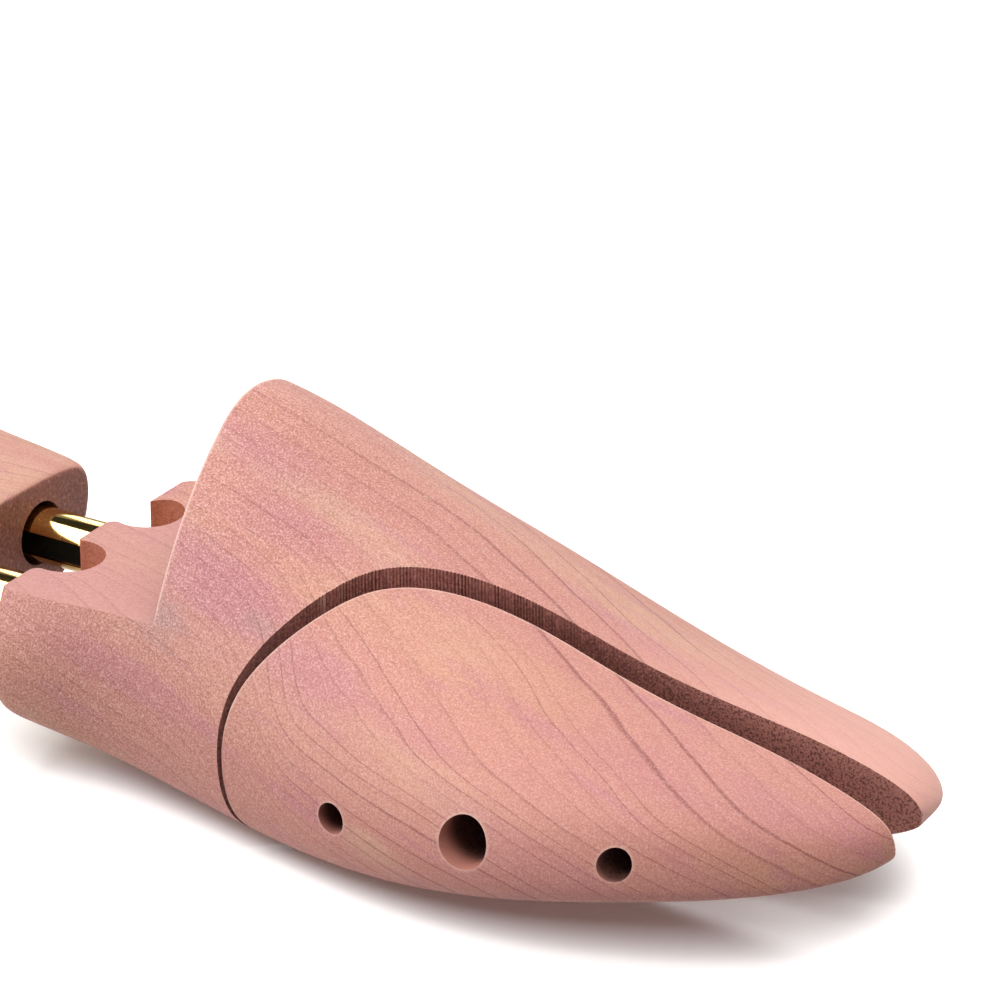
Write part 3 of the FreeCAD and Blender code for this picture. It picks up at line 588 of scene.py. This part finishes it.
# -------------------------------------------------------------------- materials
class Nodes:
    def __init__(self, name):
        self.mat = bpy.data.materials.new(name)
        self.mat.use_nodes = True
        self.t = self.mat.node_tree
        self.t.nodes.clear()
        self.out = self.t.nodes.new("ShaderNodeOutputMaterial")
        self.bsdf = self.t.nodes.new("ShaderNodeBsdfPrincipled")
        self.t.links.new(self.bsdf.outputs[0], self.out.inputs[0])

    def put(self, socket, v):
        if hasattr(v, "is_linked") or isinstance(v, bpy.types.NodeSocket):
            self.t.links.new(v, socket)
        else:
            socket.default_value = v

    def math(self, op, a, b=0.0, c=0.0, clamp=False):
        n = self.t.nodes.new("ShaderNodeMath")
        n.operation = op
        n.use_clamp = clamp
        for s, v in zip(n.inputs, (a, b, c)):
            self.put(s, v)
        return n.outputs[0]

    def dot(self, v, d):
        n = self.t.nodes.new("ShaderNodeVectorMath")
        n.operation = "DOT_PRODUCT"
        self.put(n.inputs[0], v)
        n.inputs[1].default_value = d
        return n.outputs["Value"]

    def xyz(self, x, y, z):
        n = self.t.nodes.new("ShaderNodeCombineXYZ")
        for s, v in zip(n.inputs, (x, y, z)):
            self.put(s, v)
        return n.outputs[0]

    def noise(self, vec, scale, detail=2.0, rough=0.5):
        n = self.t.nodes.new("ShaderNodeTexNoise")
        self.put(n.inputs["Vector"], vec)
        n.inputs["Scale"].default_value = scale
        n.inputs["Detail"].default_value = detail
        n.inputs["Roughness"].default_value = rough
        return n.outputs["Fac"]

    def range(self, v, a, b, lo=0.0, hi=1.0, smooth=True):
        n = self.t.nodes.new("ShaderNodeMapRange")
        n.interpolation_type = "SMOOTHSTEP" if smooth else "LINEAR"
        self.put(n.inputs["Value"], v)
        for k, x in (("From Min", a), ("From Max", b), ("To Min", lo), ("To Max", hi)):
            n.inputs[k].default_value = x
        return n.outputs["Result"]

    def mix(self, f, a, b, mode="MIX"):
        n = self.t.nodes.new("ShaderNodeMix")
        n.data_type = "RGBA"
        n.blend_type = mode
        self.put(n.inputs["Factor"], f)
        for s, v in ((n.inputs[6], a), (n.inputs[7], b)):
            if isinstance(v, tuple):
                s.default_value = (*v, 1.0)
            else:
                self.put(s, v)
        return n.outputs[2]

    def attr(self, name):
        n = self.t.nodes.new("ShaderNodeAttribute")
        n.attribute_name = name
        return n.outputs["Fac"]

    def coord(self):
        n = self.t.nodes.new("ShaderNodeTexCoord")
        m = self.t.nodes.new("ShaderNodeVectorMath")
        m.operation = "MULTIPLY_ADD"
        self.t.links.new(n.outputs["Object"], m.inputs[0])
        m.inputs[1].default_value = (1000.0, 1000.0, 1000.0)
        m.inputs[2].default_value = tuple(-SHIFT)
        return m.outputs[0]

    def bump(self, height, strength, distance, normal=None):
        n = self.t.nodes.new("ShaderNodeBump")
        n.inputs["Strength"].default_value = strength
        n.inputs["Distance"].default_value = distance
        self.put(n.inputs["Height"], height)
        if normal is not None:
            self.put(n.inputs["Normal"], normal)
        return n.outputs[0]


def srgb(r, g, b):
    f = lambda v: v / 255 / 12.92 if v <= 10.3 else ((v / 255 + 0.055) / 1.055) ** 2.4
    return (f(r), f(g), f(b))


def cedar(name, grain, pith, spacing, seed, spots=(), end=0.0, speckle=1.0):
    """Aromatic cedar as a solid: thin growth lines round a pith line, heartwood streaks, fibre and speckle.
    A spot is (kind, centre, half length along the grain, half width, strength)."""
    N = Nodes(name)
    gx, gz = math.cos(grain), -math.sin(grain)
    D, E, F = (gx, 0.0, gz), (0.0, 1.0, 0.0), (-gz, 0.0, gx)
    C = N.coord()
    g, p, q = N.dot(C, D), N.dot(C, E), N.dot(C, F)
    # slow wander of the grain
    slow = N.xyz(N.math("MULTIPLY", g, 0.011), N.math("MULTIPLY", p, 0.026), N.math("MULTIPLY_ADD", q, 0.026, seed))
    w1 = N.noise(slow, 1.0, 2.0, 0.5)
    med = N.xyz(N.math("MULTIPLY", g, 0.035), N.math("MULTIPLY", p, 0.13), N.math("MULTIPLY_ADD", q, 0.13, seed + 7.3))
    w2 = N.noise(med, 1.0, 2.0, 0.55)
    pp = N.math("MULTIPLY_ADD", w1, 7.0, N.math("SUBTRACT", p, pith[0] + 3.5))
    qq = N.math("MULTIPLY_ADD", w1, 6.0, N.math("SUBTRACT", q, pith[1] + 3.0))
    # the grain dips under the step
    at_x = N.dot(C, (1, 0, 0))
    dip = N.math("ADD", N.range(at_x, 28.0, 64.0, 0.0, 9.0), N.range(at_x, 40.0, 62.0, 0.0, 9.0))
    dip = N.math("MULTIPLY", dip, N.range(N.dot(C, (0, 0, 1)), 26.0, 54.0, 1.0, 0.0))
    qq = N.math("ADD", qq, dip)
    r = N.math("SQRT", N.math("ADD", N.math("MULTIPLY", pp, pp), N.math("MULTIPLY", qq, qq)))
    r = N.math("MULTIPLY_ADD", w2, 1.1, r)
    # growth lines: thin, dark on one side, no two alike
    vary = N.noise(N.xyz(N.math("MULTIPLY", r, 0.19), seed + 3.1, 0.0), 1.0, 1.0, 0.5)
    phase = N.math("MULTIPLY_ADD", vary, 2.4, N.math("DIVIDE", r, spacing))
    v = N.math("FRACT", phase)
    line = N.math("MULTIPLY", N.range(v, 0.84, 0.94), N.range(v, 0.96, 1.0, 1.0, 0.0))
    shade = N.math("MULTIPLY", N.range(v, 0.25, 0.9), N.range(v, 0.96, 1.0, 1.0, 0.0))
    each = N.noise(N.xyz(N.math("MULTIPLY", N.math("FLOOR", phase), 0.73), seed, N.math("MULTIPLY", g, 0.010)), 1.0, 1.0, 0.5)
    strong = N.range(each, 0.34, 0.64, 0.12, 1.0)
    v2 = N.math("FRACT", N.math("MULTIPLY_ADD", w2, 1.5, N.math("DIVIDE", r, spacing * 0.31)))
    faint = N.math("MULTIPLY", N.math("MULTIPLY", N.range(v2, 0.62, 0.86), N.range(v2, 0.93, 1.0, 1.0, 0.0)), N.range(w1, 0.38, 0.6, 0.1, 0.9))
    # colour of the wood between the lines
    band = N.xyz(N.math("MULTIPLY", g, 0.009), N.math("MULTIPLY", p, 0.06), N.math("MULTIPLY_ADD", q, 0.07, seed + 21.0))
    b1 = N.noise(band, 1.0, 3.0, 0.6)
    streak = N.xyz(N.math("MULTIPLY", g, 0.018), N.math("MULTIPLY", p, 0.17), N.math("MULTIPLY_ADD", q, 0.22, seed + 33.0))
    b2 = N.noise(streak, 1.0, 3.0, 0.6)
    col = N.mix(N.range(b1, 0.42, 0.66, 0.0, 0.8), WOOD["pink"], WOOD["tan"])
    masks = {"mauve": N.range(b2, 0.52, 0.70, 0.0, 0.5), "yellow": N.range(b1, 0.60, 0.74, 0.0, 0.28), "grey": 0.0}
    place = N.xyz(g, p, q)
    for kind, c, hg, hr, amount in spots:
        k = (np.dot(c, D), c[1], np.dot(c, F))
        n = N.t.nodes.new("ShaderNodeVectorMath")
        n.operation = "MULTIPLY_ADD"
        N.put(n.inputs[0], place)
        n.inputs[1].default_value = (1 / hg, 1 / hr, 1 / hr)
        n.inputs[2].default_value = (-k[0] / hg, -k[1] / hr, -k[2] / hr)
        m = N.t.nodes.new("ShaderNodeVectorMath")
        m.operation = "LENGTH"
        N.put(m.inputs[0], n.outputs[0])
        d = N.math("MULTIPLY_ADD", b2, -1.6, N.math("ADD", m.outputs["Value"], 0.8))
        masks[kind] = N.math("MAXIMUM", masks[kind], N.range(d, 0.2, 1.05, amount, 0.0))
    for kind in ("yellow", "mauve", "grey"):
        col = N.mix(masks[kind], col, WOOD[kind])
    col = N.mix(N.math("MULTIPLY", shade, 0.07), col, WOOD["line"])
    col = N.mix(N.math("MULTIPLY", faint, 0.13), col, WOOD["line"])
    col = N.mix(N.math("MULTIPLY", line, N.math("MULTIPLY", strong, N.range(g, 15.0, 85.0, 0.42, 0.72))), col, WOOD["line"])
    # fibre: short dashes along the grain; speckle: fine dark and pale points, less of it toward the toe
    fib = N.xyz(N.math("MULTIPLY", g, 0.20), N.math("MULTIPLY", p, 3.4), N.math("MULTIPLY_ADD", q, 3.4, seed))
    f1 = N.noise(fib, 1.0, 3.0, 0.6)
    sp = N.noise(C, 3.1, 2.0, 0.65)
    sp_big = N.noise(C, 0.9, 2.0, 0.6)
    much = N.range(g, 0.0, 90.0, speckle, 0.5 * speckle)
    calm = N.math("MULTIPLY", much, N.math("MULTIPLY_ADD", N.attr("flat"), -0.5, 1.0))
    col = N.mix(N.math("MULTIPLY", N.range(f1, 0.55, 0.74, 0.0, 0.40), calm), col, WOOD["dash"])
    col = N.mix(N.math("MULTIPLY", N.range(f1, 0.44, 0.28, 0.0, 0.25), calm), col, WOOD["pale"])
    col = N.mix(N.math("MULTIPLY", N.range(sp, 0.51, 0.66, 0.0, 0.60), calm), col, WOOD["dash"])
    col = N.mix(N.math("MULTIPLY", N.range(sp, 0.49, 0.34, 0.0, 0.60), calm), col, WOOD["pale"])
    col = N.mix(N.math("MULTIPLY", N.range(sp_big, 0.50, 0.72, 0.0, 0.12), calm), col, WOOD["dash"])
    # the toe end is paler toward its far, upward-facing side: painted sheen
    toe_sheen = N.math("MULTIPLY", N.range(g, 76.0, 140.0, 0.0, 0.58 if end == 0.0 else 0.0), N.range(p, -5.0, 4.0))
    col = N.mix(toe_sheen, col, srgb(216, 164, 150))
    # planed deck and step
    col = N.mix(N.math("MULTIPLY", N.attr("flat"), 0.30), col, WOOD["planed"])
    # end grain: where the surface cuts across the fibres it drinks light and shows pores; its colour is also darkened
    # as painted shade, and its pale flecks are painted glints
    geo = N.t.nodes.new("ShaderNodeNewGeometry")
    across = N.math("ABSOLUTE", N.dot(geo.outputs["Normal"], D))
    pores = N.noise(C, 1.5, 3.0, 0.65)
    endg = N.range(across, 0.70, 0.95, 0.0, end)
    # pale flecks where the pores open: painted glints on the end grain
    chip_glint = N.range(pores, 0.62, 0.70, 0.0, 0.55)
    # end grain tone, darkened below the wood's own colour as painted shade
    end_grain_shaded = N.mix(N.range(pores, 0.32, 0.60), srgb(84, 45, 36), srgb(128, 78, 66))
    col = N.mix(N.math("MULTIPLY", endg, 0.9), col, N.mix(chip_glint, end_grain_shaded, srgb(196, 150, 136)))
    # sawn slot wall, drilled round notches, bores, eased edges: painted shade in the slot, the notches and the bores,
    # and a painted highlight along the edges
    sawn, bored, edge, scallop = N.attr("sawn"), N.attr("bored"), N.attr("edge"), N.attr("scallop")
    grit = N.noise(C, 1.9, 4.0, 0.7)
    # slot wall darker than the face: partly burn from the blade, partly painted shade in the cut
    wall = N.mix(N.range(grit, 0.32, 0.68), srgb(130, 68, 60), srgb(194, 124, 110))
    gx_ = N.dot(C, (1, 0, 0))
    # painted shade in the valleys between the saw ridges
    wall = N.mix(N.math("MULTIPLY", N.range(N.attr("groove"), -0.05, 0.11, 0.0, 0.8), N.range(gx_, 84.0, 112.0, 1.0, 0.15)), wall, srgb(66, 34, 32))
    dots = N.math("MULTIPLY", N.range(N.noise(C, 2.6, 1.0, 0.5), 0.50, 0.60, 0.0, 0.8), N.range(gx_, 76.0, 108.0))
    # painted light: the wall is lighter toward the toe, where the cut opens wide
    wall = N.mix(N.range(gx_, 90.0, 140.0, 0.0, 0.62), wall, srgb(204, 140, 126))
    wall = N.mix(dots, wall, srgb(104, 60, 55))
    # painted shade: darker toward the narrow rear end of the slot
    wall = N.mix(N.range(gx_, 50.0, 66.0, 0.45, 0.0), wall, srgb(70, 38, 34))
    col = N.mix(N.math("MULTIPLY", sawn, 0.95), col, wall)
    # drilled notch walls: darker end grain, deepened as painted shade inside the notch
    col = N.mix(N.math("MULTIPLY", scallop, 0.9), col, N.mix(N.range(grit, 0.3, 0.7), srgb(128, 65, 51), srgb(166, 95, 76)))
    # bores: painted shade, near black deep in the hole and lighter toward the mouth on the wing's outer side
    col = N.mix(N.math("MULTIPLY", bored, 0.97), col, N.mix(N.range(p, -34.5, -30.5), srgb(170, 112, 98), N.mix(N.range(pores, 0.3, 0.7), srgb(48, 28, 25), srgb(92, 54, 46))))
    # painted highlight along the eased edges and hole rims
    rim_highlight = N.math("MULTIPLY", N.math("MULTIPLY", edge, 0.75), N.range(b2, 0.3, 0.6, 0.6, 1.0))
    col = N.mix(N.math("MULTIPLY", rim_highlight, N.math("SUBTRACT", 1.0, N.math("MAXIMUM", bored, N.attr("flat")))), col, WOOD["rim_highlight"])
    N.put(N.bsdf.inputs["Base Color"], col)
    rough = N.math("MULTIPLY_ADD", sawn, 0.25, N.range(f1, 0.3, 0.75, 0.52, 0.70))
    N.put(N.bsdf.inputs["Roughness"], rough)
    N.bsdf.inputs["Specular IOR Level"].default_value = 0.30
    h = N.math("MULTIPLY_ADD", line, 0.3, N.math("MULTIPLY", f1, -0.8))
    h = N.math("MULTIPLY_ADD", sp, -0.8, h)
    h = N.math("MULTIPLY_ADD", N.math("MULTIPLY", pores, endg), -1.6, h)
    b = N.bump(h, 0.40, 0.00012)
    N.put(N.bsdf.inputs["Normal"], N.bump(N.math("MULTIPLY", sawn, grit), 0.8, 0.0004, b))
    return N.mat


# "rim" is the colour of the painted highlight on edges and hole rims
WOOD = {"pink": srgb(180, 122, 110), "tan": srgb(182, 127, 106), "mauve": srgb(169, 105, 116), "yellow": srgb(192, 156, 126),
        "grey": srgb(152, 120, 115), "line": srgb(122, 60, 58), "dash": srgb(131, 77, 73), "pale": srgb(211, 171, 162),
        "planed": srgb(168, 128, 127), "rim_highlight": srgb(224, 190, 176)}
SPOTS = [("mauve", (36, -3, 63), 20, 6, 0.55), ("mauve", (47.8, -10.3, 53.1), 18, 6, 0.45), ("mauve", (41, -19.5, 44.5), 20, 10, 0.75),
         ("mauve", (63, -25, 35), 22, 8, 0.6), ("mauve", (82, -27.6, 32.5), 20, 6, 0.35), ("mauve", (121.7, -19, 33), 22, 8, 0.4),
         ("mauve", (111, -35, 19.5), 40, 9, 0.35), ("mauve", (141, -15.6, 29), 14, 6, 0.35),
         ("yellow", (31, -5, 62.8), 6, 3.5, 0.55), ("yellow", (52, -4.6, 56), 24, 3.5, 0.5), ("yellow", (66, -6.2, 49.5), 16, 3.2, 0.4),
         ("yellow", (67, 17, 51.6), 34, 7, 0.4), ("yellow", (86, -12.4, 42.4), 28, 4, 0.2), ("yellow", (79.6, -35.7, 14.1), 9, 4, 0.55),
         ("yellow", (98.9, 16, 39.8), 30, 8, 0.4), ("grey", (31, -23.6, 37.0), 8, 5, 0.7), ("grey", (49, -21.4, 40.6), 5, 2.5, 0.45)]
for o in (toe, wing, heel):
    o.data.materials.clear()
toe.data.materials.append(cedar("cedar_toe", math.radians(18), (-78.0, -40.0), 2.3, 0.0, SPOTS))
wing.data.materials.append(cedar("cedar_wing", math.radians(18), (-78.0, -40.0), 2.3, 0.0, SPOTS))
heel.data.materials.append(cedar("cedar_heel", math.radians(-4), (-70.0, -50.0), 2.6, 9.7, [("yellow", (-40, 0, 38), 60, 40, 0.45)], 1.0, 0.45))


def metal(name, colour, rough, scratch=0.2, axis=(1, 0, 0), scale=1.0):
    """Worked metal: fine drawing lines along one axis, faint handling marks."""
    N = Nodes(name)
    C = N.coord()
    ax = Vector(axis)
    e = Vector((0, 0, 1)) if abs(ax.z) < 0.5 else Vector((1, 0, 0))
    f = ax.cross(e)
    v = N.xyz(N.math("MULTIPLY", N.dot(C, tuple(ax)), 0.05 * scale), N.math("MULTIPLY", N.dot(C, tuple(e)), 6 * scale),
              N.math("MULTIPLY", N.dot(C, tuple(f)), 6 * scale))
    lines = N.noise(v, 1.0, 3.0, 0.6)
    marks = N.noise(C, 0.35, 4.0, 0.65)
    N.put(N.bsdf.inputs["Base Color"], N.mix(N.range(marks, 0.35, 0.75, 0.0, 0.5), colour, tuple(c * 0.78 for c in colour)))
    N.bsdf.inputs["Metallic"].default_value = 1.0
    N.put(N.bsdf.inputs["Roughness"], N.math("ADD", N.range(lines, 0.3, 0.7, rough, rough * 1.6), N.range(marks, 0.45, 0.8, 0.0, rough)))
    N.put(N.bsdf.inputs["Normal"], N.bump(lines, scratch, 0.00002))
    return N.mat


BRASS = metal("brass_polished", srgb(238, 205, 128), 0.07, 0.05)
STEEL = metal("steel_bright", srgb(190, 190, 192), 0.22, 0.25)
STEEL_Y = metal("steel_turned", srgb(176, 176, 178), 0.25, 0.3, (0, 1, 0))
WIRE = metal("spring_wire", srgb(150, 150, 152), 0.28, 0.3, (0, 0, 1))
DARK = metal("steel_blackened", srgb(62, 56, 54), 0.5, 0.3, (0, 1, 0))
# painted shade: the inside of the tubes is coloured near black
TUBE_INSIDE_SHADE = Nodes("brass_bore_painted_shade")
TUBE_INSIDE_SHADE.put(TUBE_INSIDE_SHADE.bsdf.inputs["Base Color"], TUBE_INSIDE_SHADE.mix(TUBE_INSIDE_SHADE.noise(TUBE_INSIDE_SHADE.coord(), 0.6, 3.0, 0.6), (0.010, 0.009, 0.006), (0.035, 0.028, 0.016)))
TUBE_INSIDE_SHADE.bsdf.inputs["Roughness"].default_value = 0.7
TUBE_INSIDE_SHADE.bsdf.inputs["Specular IOR Level"].default_value = 0.15
TUBE_INSIDE_SHADE = TUBE_INSIDE_SHADE.mat


def lathe(name, profile, axis, base, seg=96):
    """Turned solid: profile of (radius, length) from the axis round to the axis."""
    verts, faces, rings = [], [], []
    for r, z in profile:
        if r < 1e-6:
            rings.append([len(verts)])
            verts.append((0, 0, z))
        else:
            rings.append(list(range(len(verts), len(verts) + seg)))
            verts += [(r * math.cos(2 * math.pi * i / seg), r * math.sin(2 * math.pi * i / seg), z) for i in range(seg)]
    pairs = list(zip(rings, rings[1:]))
    if len(rings[0]) > 1 and len(rings[-1]) > 1:
        pairs.append((rings[-1], rings[0]))
    for a, b in pairs:
        for i in range(seg):
            j = (i + 1) % seg
            if len(a) == 1 and len(b) > 1:
                faces.append((a[0], b[j], b[i]))
            elif len(b) == 1 and len(a) > 1:
                faces.append((a[i], a[j], b[0]))
            elif len(a) > 1:
                faces.append((a[i], a[j], b[j], b[i]))
    m = Matrix.Translation(Vector(base)) @ Vector(axis).to_track_quat("Z", "Y").to_matrix().to_4x4()
    return new_object(name, [m @ Vector(v) for v in verts], faces, outward=True)


def place(o, name, node, body, mat, slot, angle=35):
    me = o.data
    set_coords(me, (coords(me) + SHIFT) / 1000.0)
    for p in me.polygons:
        p.use_smooth = True
    me.set_sharp_from_angle(angle=math.radians(angle))
    o.name = name
    me.name = name
    me.materials.clear()
    me.materials.append(mat)
    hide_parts(node)
    if body:
        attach(o, body)
    return o


for tag, s in (("lateral", -1), ("medial", 1)):
    y = s * TUBE_Y
    R, B = 4.99, 4.36
    prof = [(B + 0.15, 0.0), (R - 0.35, 0.0), (R - 0.1, 0.1), (R, 0.35), (R, 87.65), (R - 0.1, 87.9), (R - 0.35, 88.0),
            (B + 0.15, 88.0), (B, 87.85), (B, 0.15)]
    t = lathe(tag + "_tube", prof, (1, 0, 0), (-46, y, TUBE_Z), 128)
    w = 2.2
    ends = []
    for cx, a0 in ((-29.4, math.pi / 2), (-9.4, -math.pi / 2)):
        ends += [(cx + w * math.cos(a0 + math.pi * i / 24), TUBE_Z + w * math.sin(a0 + math.pi * i / 24)) for i in range(25)]
    n = len(ends)
    verts = [(x, y - 9, z) for x, z in ends] + [(x, y + 9, z) for x, z in ends]
    faces = [tuple(range(n - 1, -1, -1)), tuple(range(n, 2 * n))] + [(i, (i + 1) % n, n + (i + 1) % n, n + i) for i in range(n)]
    boolean(t, new_object("slot", verts, faces, outward=True))
    boolean(t, rod("pinhole", (9.4, y - 9, TUBE_Z), (9.4, y + 9, TUBE_Z), 2.0, 48))
    bore = np.hypot(*(faces_of(t.data)[0][:, 1:] - np.array([y, TUBE_Z])).T) < B + 0.1
    place(t, tag + "_tube_brass", tag + "_tube", "forepart", BRASS, "brass", 30)
    # the tube's inner faces get the near-black painted-shade material
    t.data.materials.append(TUBE_INSIDE_SHADE)
    t.data.polygons.foreach_set("material_index", bore.astype(np.int32))


def helix(name, a, b, r, wire, turns, dead=1.25, seg=28, ring=12):
    """Compression spring along the line a to b with closed ends, as a mesh tube."""
    a, b = Vector(a), Vector(b)
    L = (b - a).length
    total = turns + 2 * dead
    n = int(total * seg)
    pts = []
    for i in range(n + 1):
        t = total * i / n
        if t < dead:
            z = wire / 2 + t * wire * 0.98
        elif t > total - dead:
            z = L - wire / 2 - (total - t) * wire * 0.98
        else:
            z0, z1 = wire / 2 + dead * wire * 0.98, L - wire / 2 - dead * wire * 0.98
            z = z0 + (z1 - z0) * (t - dead) / turns
        pts.append(Vector((r * math.cos(2 * math.pi * t), r * math.sin(2 * math.pi * t), z)))
    verts, faces = [], []
    for i, p in enumerate(pts):
        d = (pts[min(i + 1, n)] - pts[max(i - 1, 0)]).normalized()
        u = Vector((p.x, p.y, 0)).normalized()
        v = d.cross(u).normalized()
        for k in range(ring):
            c = 2 * math.pi * k / ring
            verts.append(p + (u * math.cos(c) + v * math.sin(c)) * wire / 2)
    for i in range(n):
        for k in range(ring):
            j = (k + 1) % ring
            faces.append((i * ring + k, i * ring + j, (i + 1) * ring + j, (i + 1) * ring + k))
    faces.append(tuple(range(ring - 1, -1, -1)))
    faces.append(tuple(n * ring + k for k in range(ring)))
    m = Matrix.Translation(a) @ (b - a).to_track_quat("Z", "Y").to_matrix().to_4x4()
    return new_object(name, [m @ v for v in verts], faces, outward=True)


def row(p):
    return tuple((np.array(p) + SHIFT) / 1000.0)


for tag, s in (("lateral", -1), ("medial", 1)):
    y = s * TUBE_Y
    h = helix(tag + "_spring", (-47.5, y, TUBE_Z), (-84.0, y, TUBE_Z), 4.05, 1.05, 9)
    place(h, tag + "_tube_spring_coil", tag + "_tube_spring", "forepart", WIRE, "steel", 60)
    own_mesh(h)
h = helix("wing_coil", (HOLES["mid"][0], 12.0, HOLES["mid"][1]), (HOLES["mid"][0], -21.0, HOLES["mid"][1]), 2.74, 0.78, 11)
place(h, "wing_spring_coil", "wing_spring", None, WIRE, "steel", 60)
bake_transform(h)

# guide screws: raised head with a cross recess, thread on the end that holds in the wood
for tag in ("rear", "front"):
    hx, hz = HOLES[tag]
    y0 = -22.0 - 0.3 - 0.6 - 2.0
    prof = [(0, 0.0), (1.0, 0.03), (1.6, 0.16), (1.92, 0.5), (2.08, 0.95), (2.08, 1.85), (2.0, 2.0), (1.38, 2.0), (1.38, 24.0)]
    z = 24.0
    while z < 40.0:
        prof += [(1.05, z + 0.25), (1.38, z + 0.7), (1.38, z + 0.8), (1.05, z + 1.25)]
        z += 1.25
    prof += [(0.9, 41.4), (0, 42.9)]
    sc = lathe("screw", prof, (0, 1, 0), (hx, y0, hz), 48)
    for dx, dz in ((1.25, 0.28), (0.28, 1.25)):
        boolean(sc, box_solid("cross", (hx - dx, y0 - 0.5, hz - dz), (hx + dx, y0 + 1.1, hz + dz)))
    place(sc, tag + "_guide_screw_turned", tag + "_guide_screw", "forepart", DARK, "steel", 30)

for nm, mat in (("tube_lock_pin", STEEL_Y), ("heel_stop_pin", STEEL_Y), ("lateral_tube_plug", STEEL), ("medial_tube_plug", STEEL),
                ("lateral_spring_seat", STEEL), ("medial_spring_seat", STEEL), ("wing_spring_seat", STEEL_Y),
                ("wing_spring_plug", DARK), ("rear_screw_washer", DARK), ("front_screw_washer", DARK)):
    o = nodes[nm]
    o.data.materials.clear()
    o.data.materials.append(mat)

# ------------------------------------------------------------------ floor, light
fm = Nodes("floor_paper")
fc = fm.coord()
fm.put(fm.bsdf.inputs["Base Color"], fm.mix(fm.noise(fc, 0.004, 2.0), (0.95, 0.95, 0.955), (0.97, 0.97, 0.97)))
fm.bsdf.inputs["Roughness"].default_value = 0.55
fm.bsdf.inputs["Specular IOR Level"].default_value = 0.2
ground = new_object("floor", [(-3, -3, 0), (3, -3, 0), (3, 3, 0), (-3, 3, 0)], [(0, 1, 2, 3)])
ground.data.materials.append(fm.mat)
ground.visible_diffuse = False

world = bpy.data.worlds.new("studio")
bpy.context.scene.world = world
world.use_nodes = True
world.node_tree.nodes["Background"].inputs[0].default_value = (1.0, 0.99, 0.98, 1.0)
world.node_tree.nodes["Background"].inputs[1].default_value = 0.36


def area(name, loc, target, size, power, colour=(1, 1, 1), size_y=None):
    li = bpy.data.lights.new(name, "AREA")
    li.energy = power
    li.color = colour
    li.size = size
    if size_y:
        li.shape = "RECTANGLE"
        li.size_y = size_y
    o = bpy.data.objects.new(name, li)
    o.location = loc
    o.rotation_euler = (Vector(target) - Vector(loc)).to_track_quat("-Z", "Y").to_euler()
    COL.objects.link(o)
    return o


area("key", (0.20, 0.0, 1.15), (0.03, 0, 0.02), 1.3, 20.6, (1.0, 0.99, 0.985), 1.1)
front = area("front", (-0.78, -0.78, 0.28), (0.0, 0, 0.02), 0.9, 10.4, (1.0, 0.99, 0.985), 0.6)
# a light for the paper alone, high in front
wash = area("wash", (0.34, -0.72, 0.92), (0.05, -0.05, 0.0), 0.8, 14.0, (1.0, 1.0, 1.0), 0.6)
paper = bpy.data.collections.new("paper_only")
paper.objects.link(ground)
wash.light_linking.receiver_collection = paper
# and the front light for the object alone
wood_only = bpy.data.collections.new("not_paper")
wood_only.objects.link(ground)
wood_only.collection_objects[0].light_linking.link_state = "EXCLUDE"
front.light_linking.receiver_collection = wood_only


def panel(name, loc, target, size, strength):
    """A lit card that shows only in reflections."""
    N = Nodes(name)
    N.bsdf.inputs["Base Color"].default_value = (0.02, 0.02, 0.02, 1.0)
    N.bsdf.inputs["Roughness"].default_value = 0.9
    N.bsdf.inputs["Emission Color"].default_value = (1.0, 1.0, 1.0, 1.0)
    N.bsdf.inputs["Emission Strength"].default_value = strength
    x, y = size[0] / 2, size[1] / 2
    o = new_object(name, [(-x, -y, 0), (x, -y, 0), (x, y, 0), (-x, y, 0)], [(0, 1, 2, 3)])
    o.location = loc
    o.rotation_euler = (Vector(target) - Vector(loc)).to_track_quat("-Z", "Y").to_euler()
    o.data.materials.append(N.mat)
    o.visible_camera = o.visible_diffuse = o.visible_shadow = o.visible_transmission = False


panel("window", (-0.43, -0.41, 0.57), (-0.03, -0.013, 0.026), (0.9, 0.55), 6.0)
panel("sheen", (-0.20, 0.95, 0.55), (0.03, 0, 0.03), (1.2, 0.5), 3.4)
panel("card", (-0.29, 0.15, 0.46), (-0.03, -0.013, 0.026), (0.34, 0.30), 0.0)

# ----------------------------------------------------------------------- camera
AZ, EL, DIST = math.radians(31.762), math.radians(24.847), 814.241
right = np.array([math.cos(AZ), math.sin(AZ), 0.0])
back = np.array([math.sin(AZ) * math.cos(EL), -math.cos(AZ) * math.cos(EL), math.sin(EL)])
up = np.cross(back, right)
eye = np.array([70.0, -0.62, 30.0]) + back * DIST + right * 10.570 + up * 26.907
cam = bpy.data.cameras.new("camera")
cam.sensor_width = 36.0
cam.sensor_fit = "HORIZONTAL"
cam.lens = 4922.03 * 36.0 / 1000.0
cam.clip_start = 0.05
cam.clip_end = 20.0
cam.dof.use_dof = False
co = bpy.data.objects.new("camera", cam)
m = np.eye(4)
m[:3, 0], m[:3, 1], m[:3, 2], m[:3, 3] = right, up, back, (eye + SHIFT) / 1000.0
co.matrix_world = Matrix(m.tolist())
COL.objects.link(co)
bpy.context.scene.camera = co
bpy.context.scene.view_settings.view_transform = "Standard"
bpy.context.scene.view_settings.look = "None"
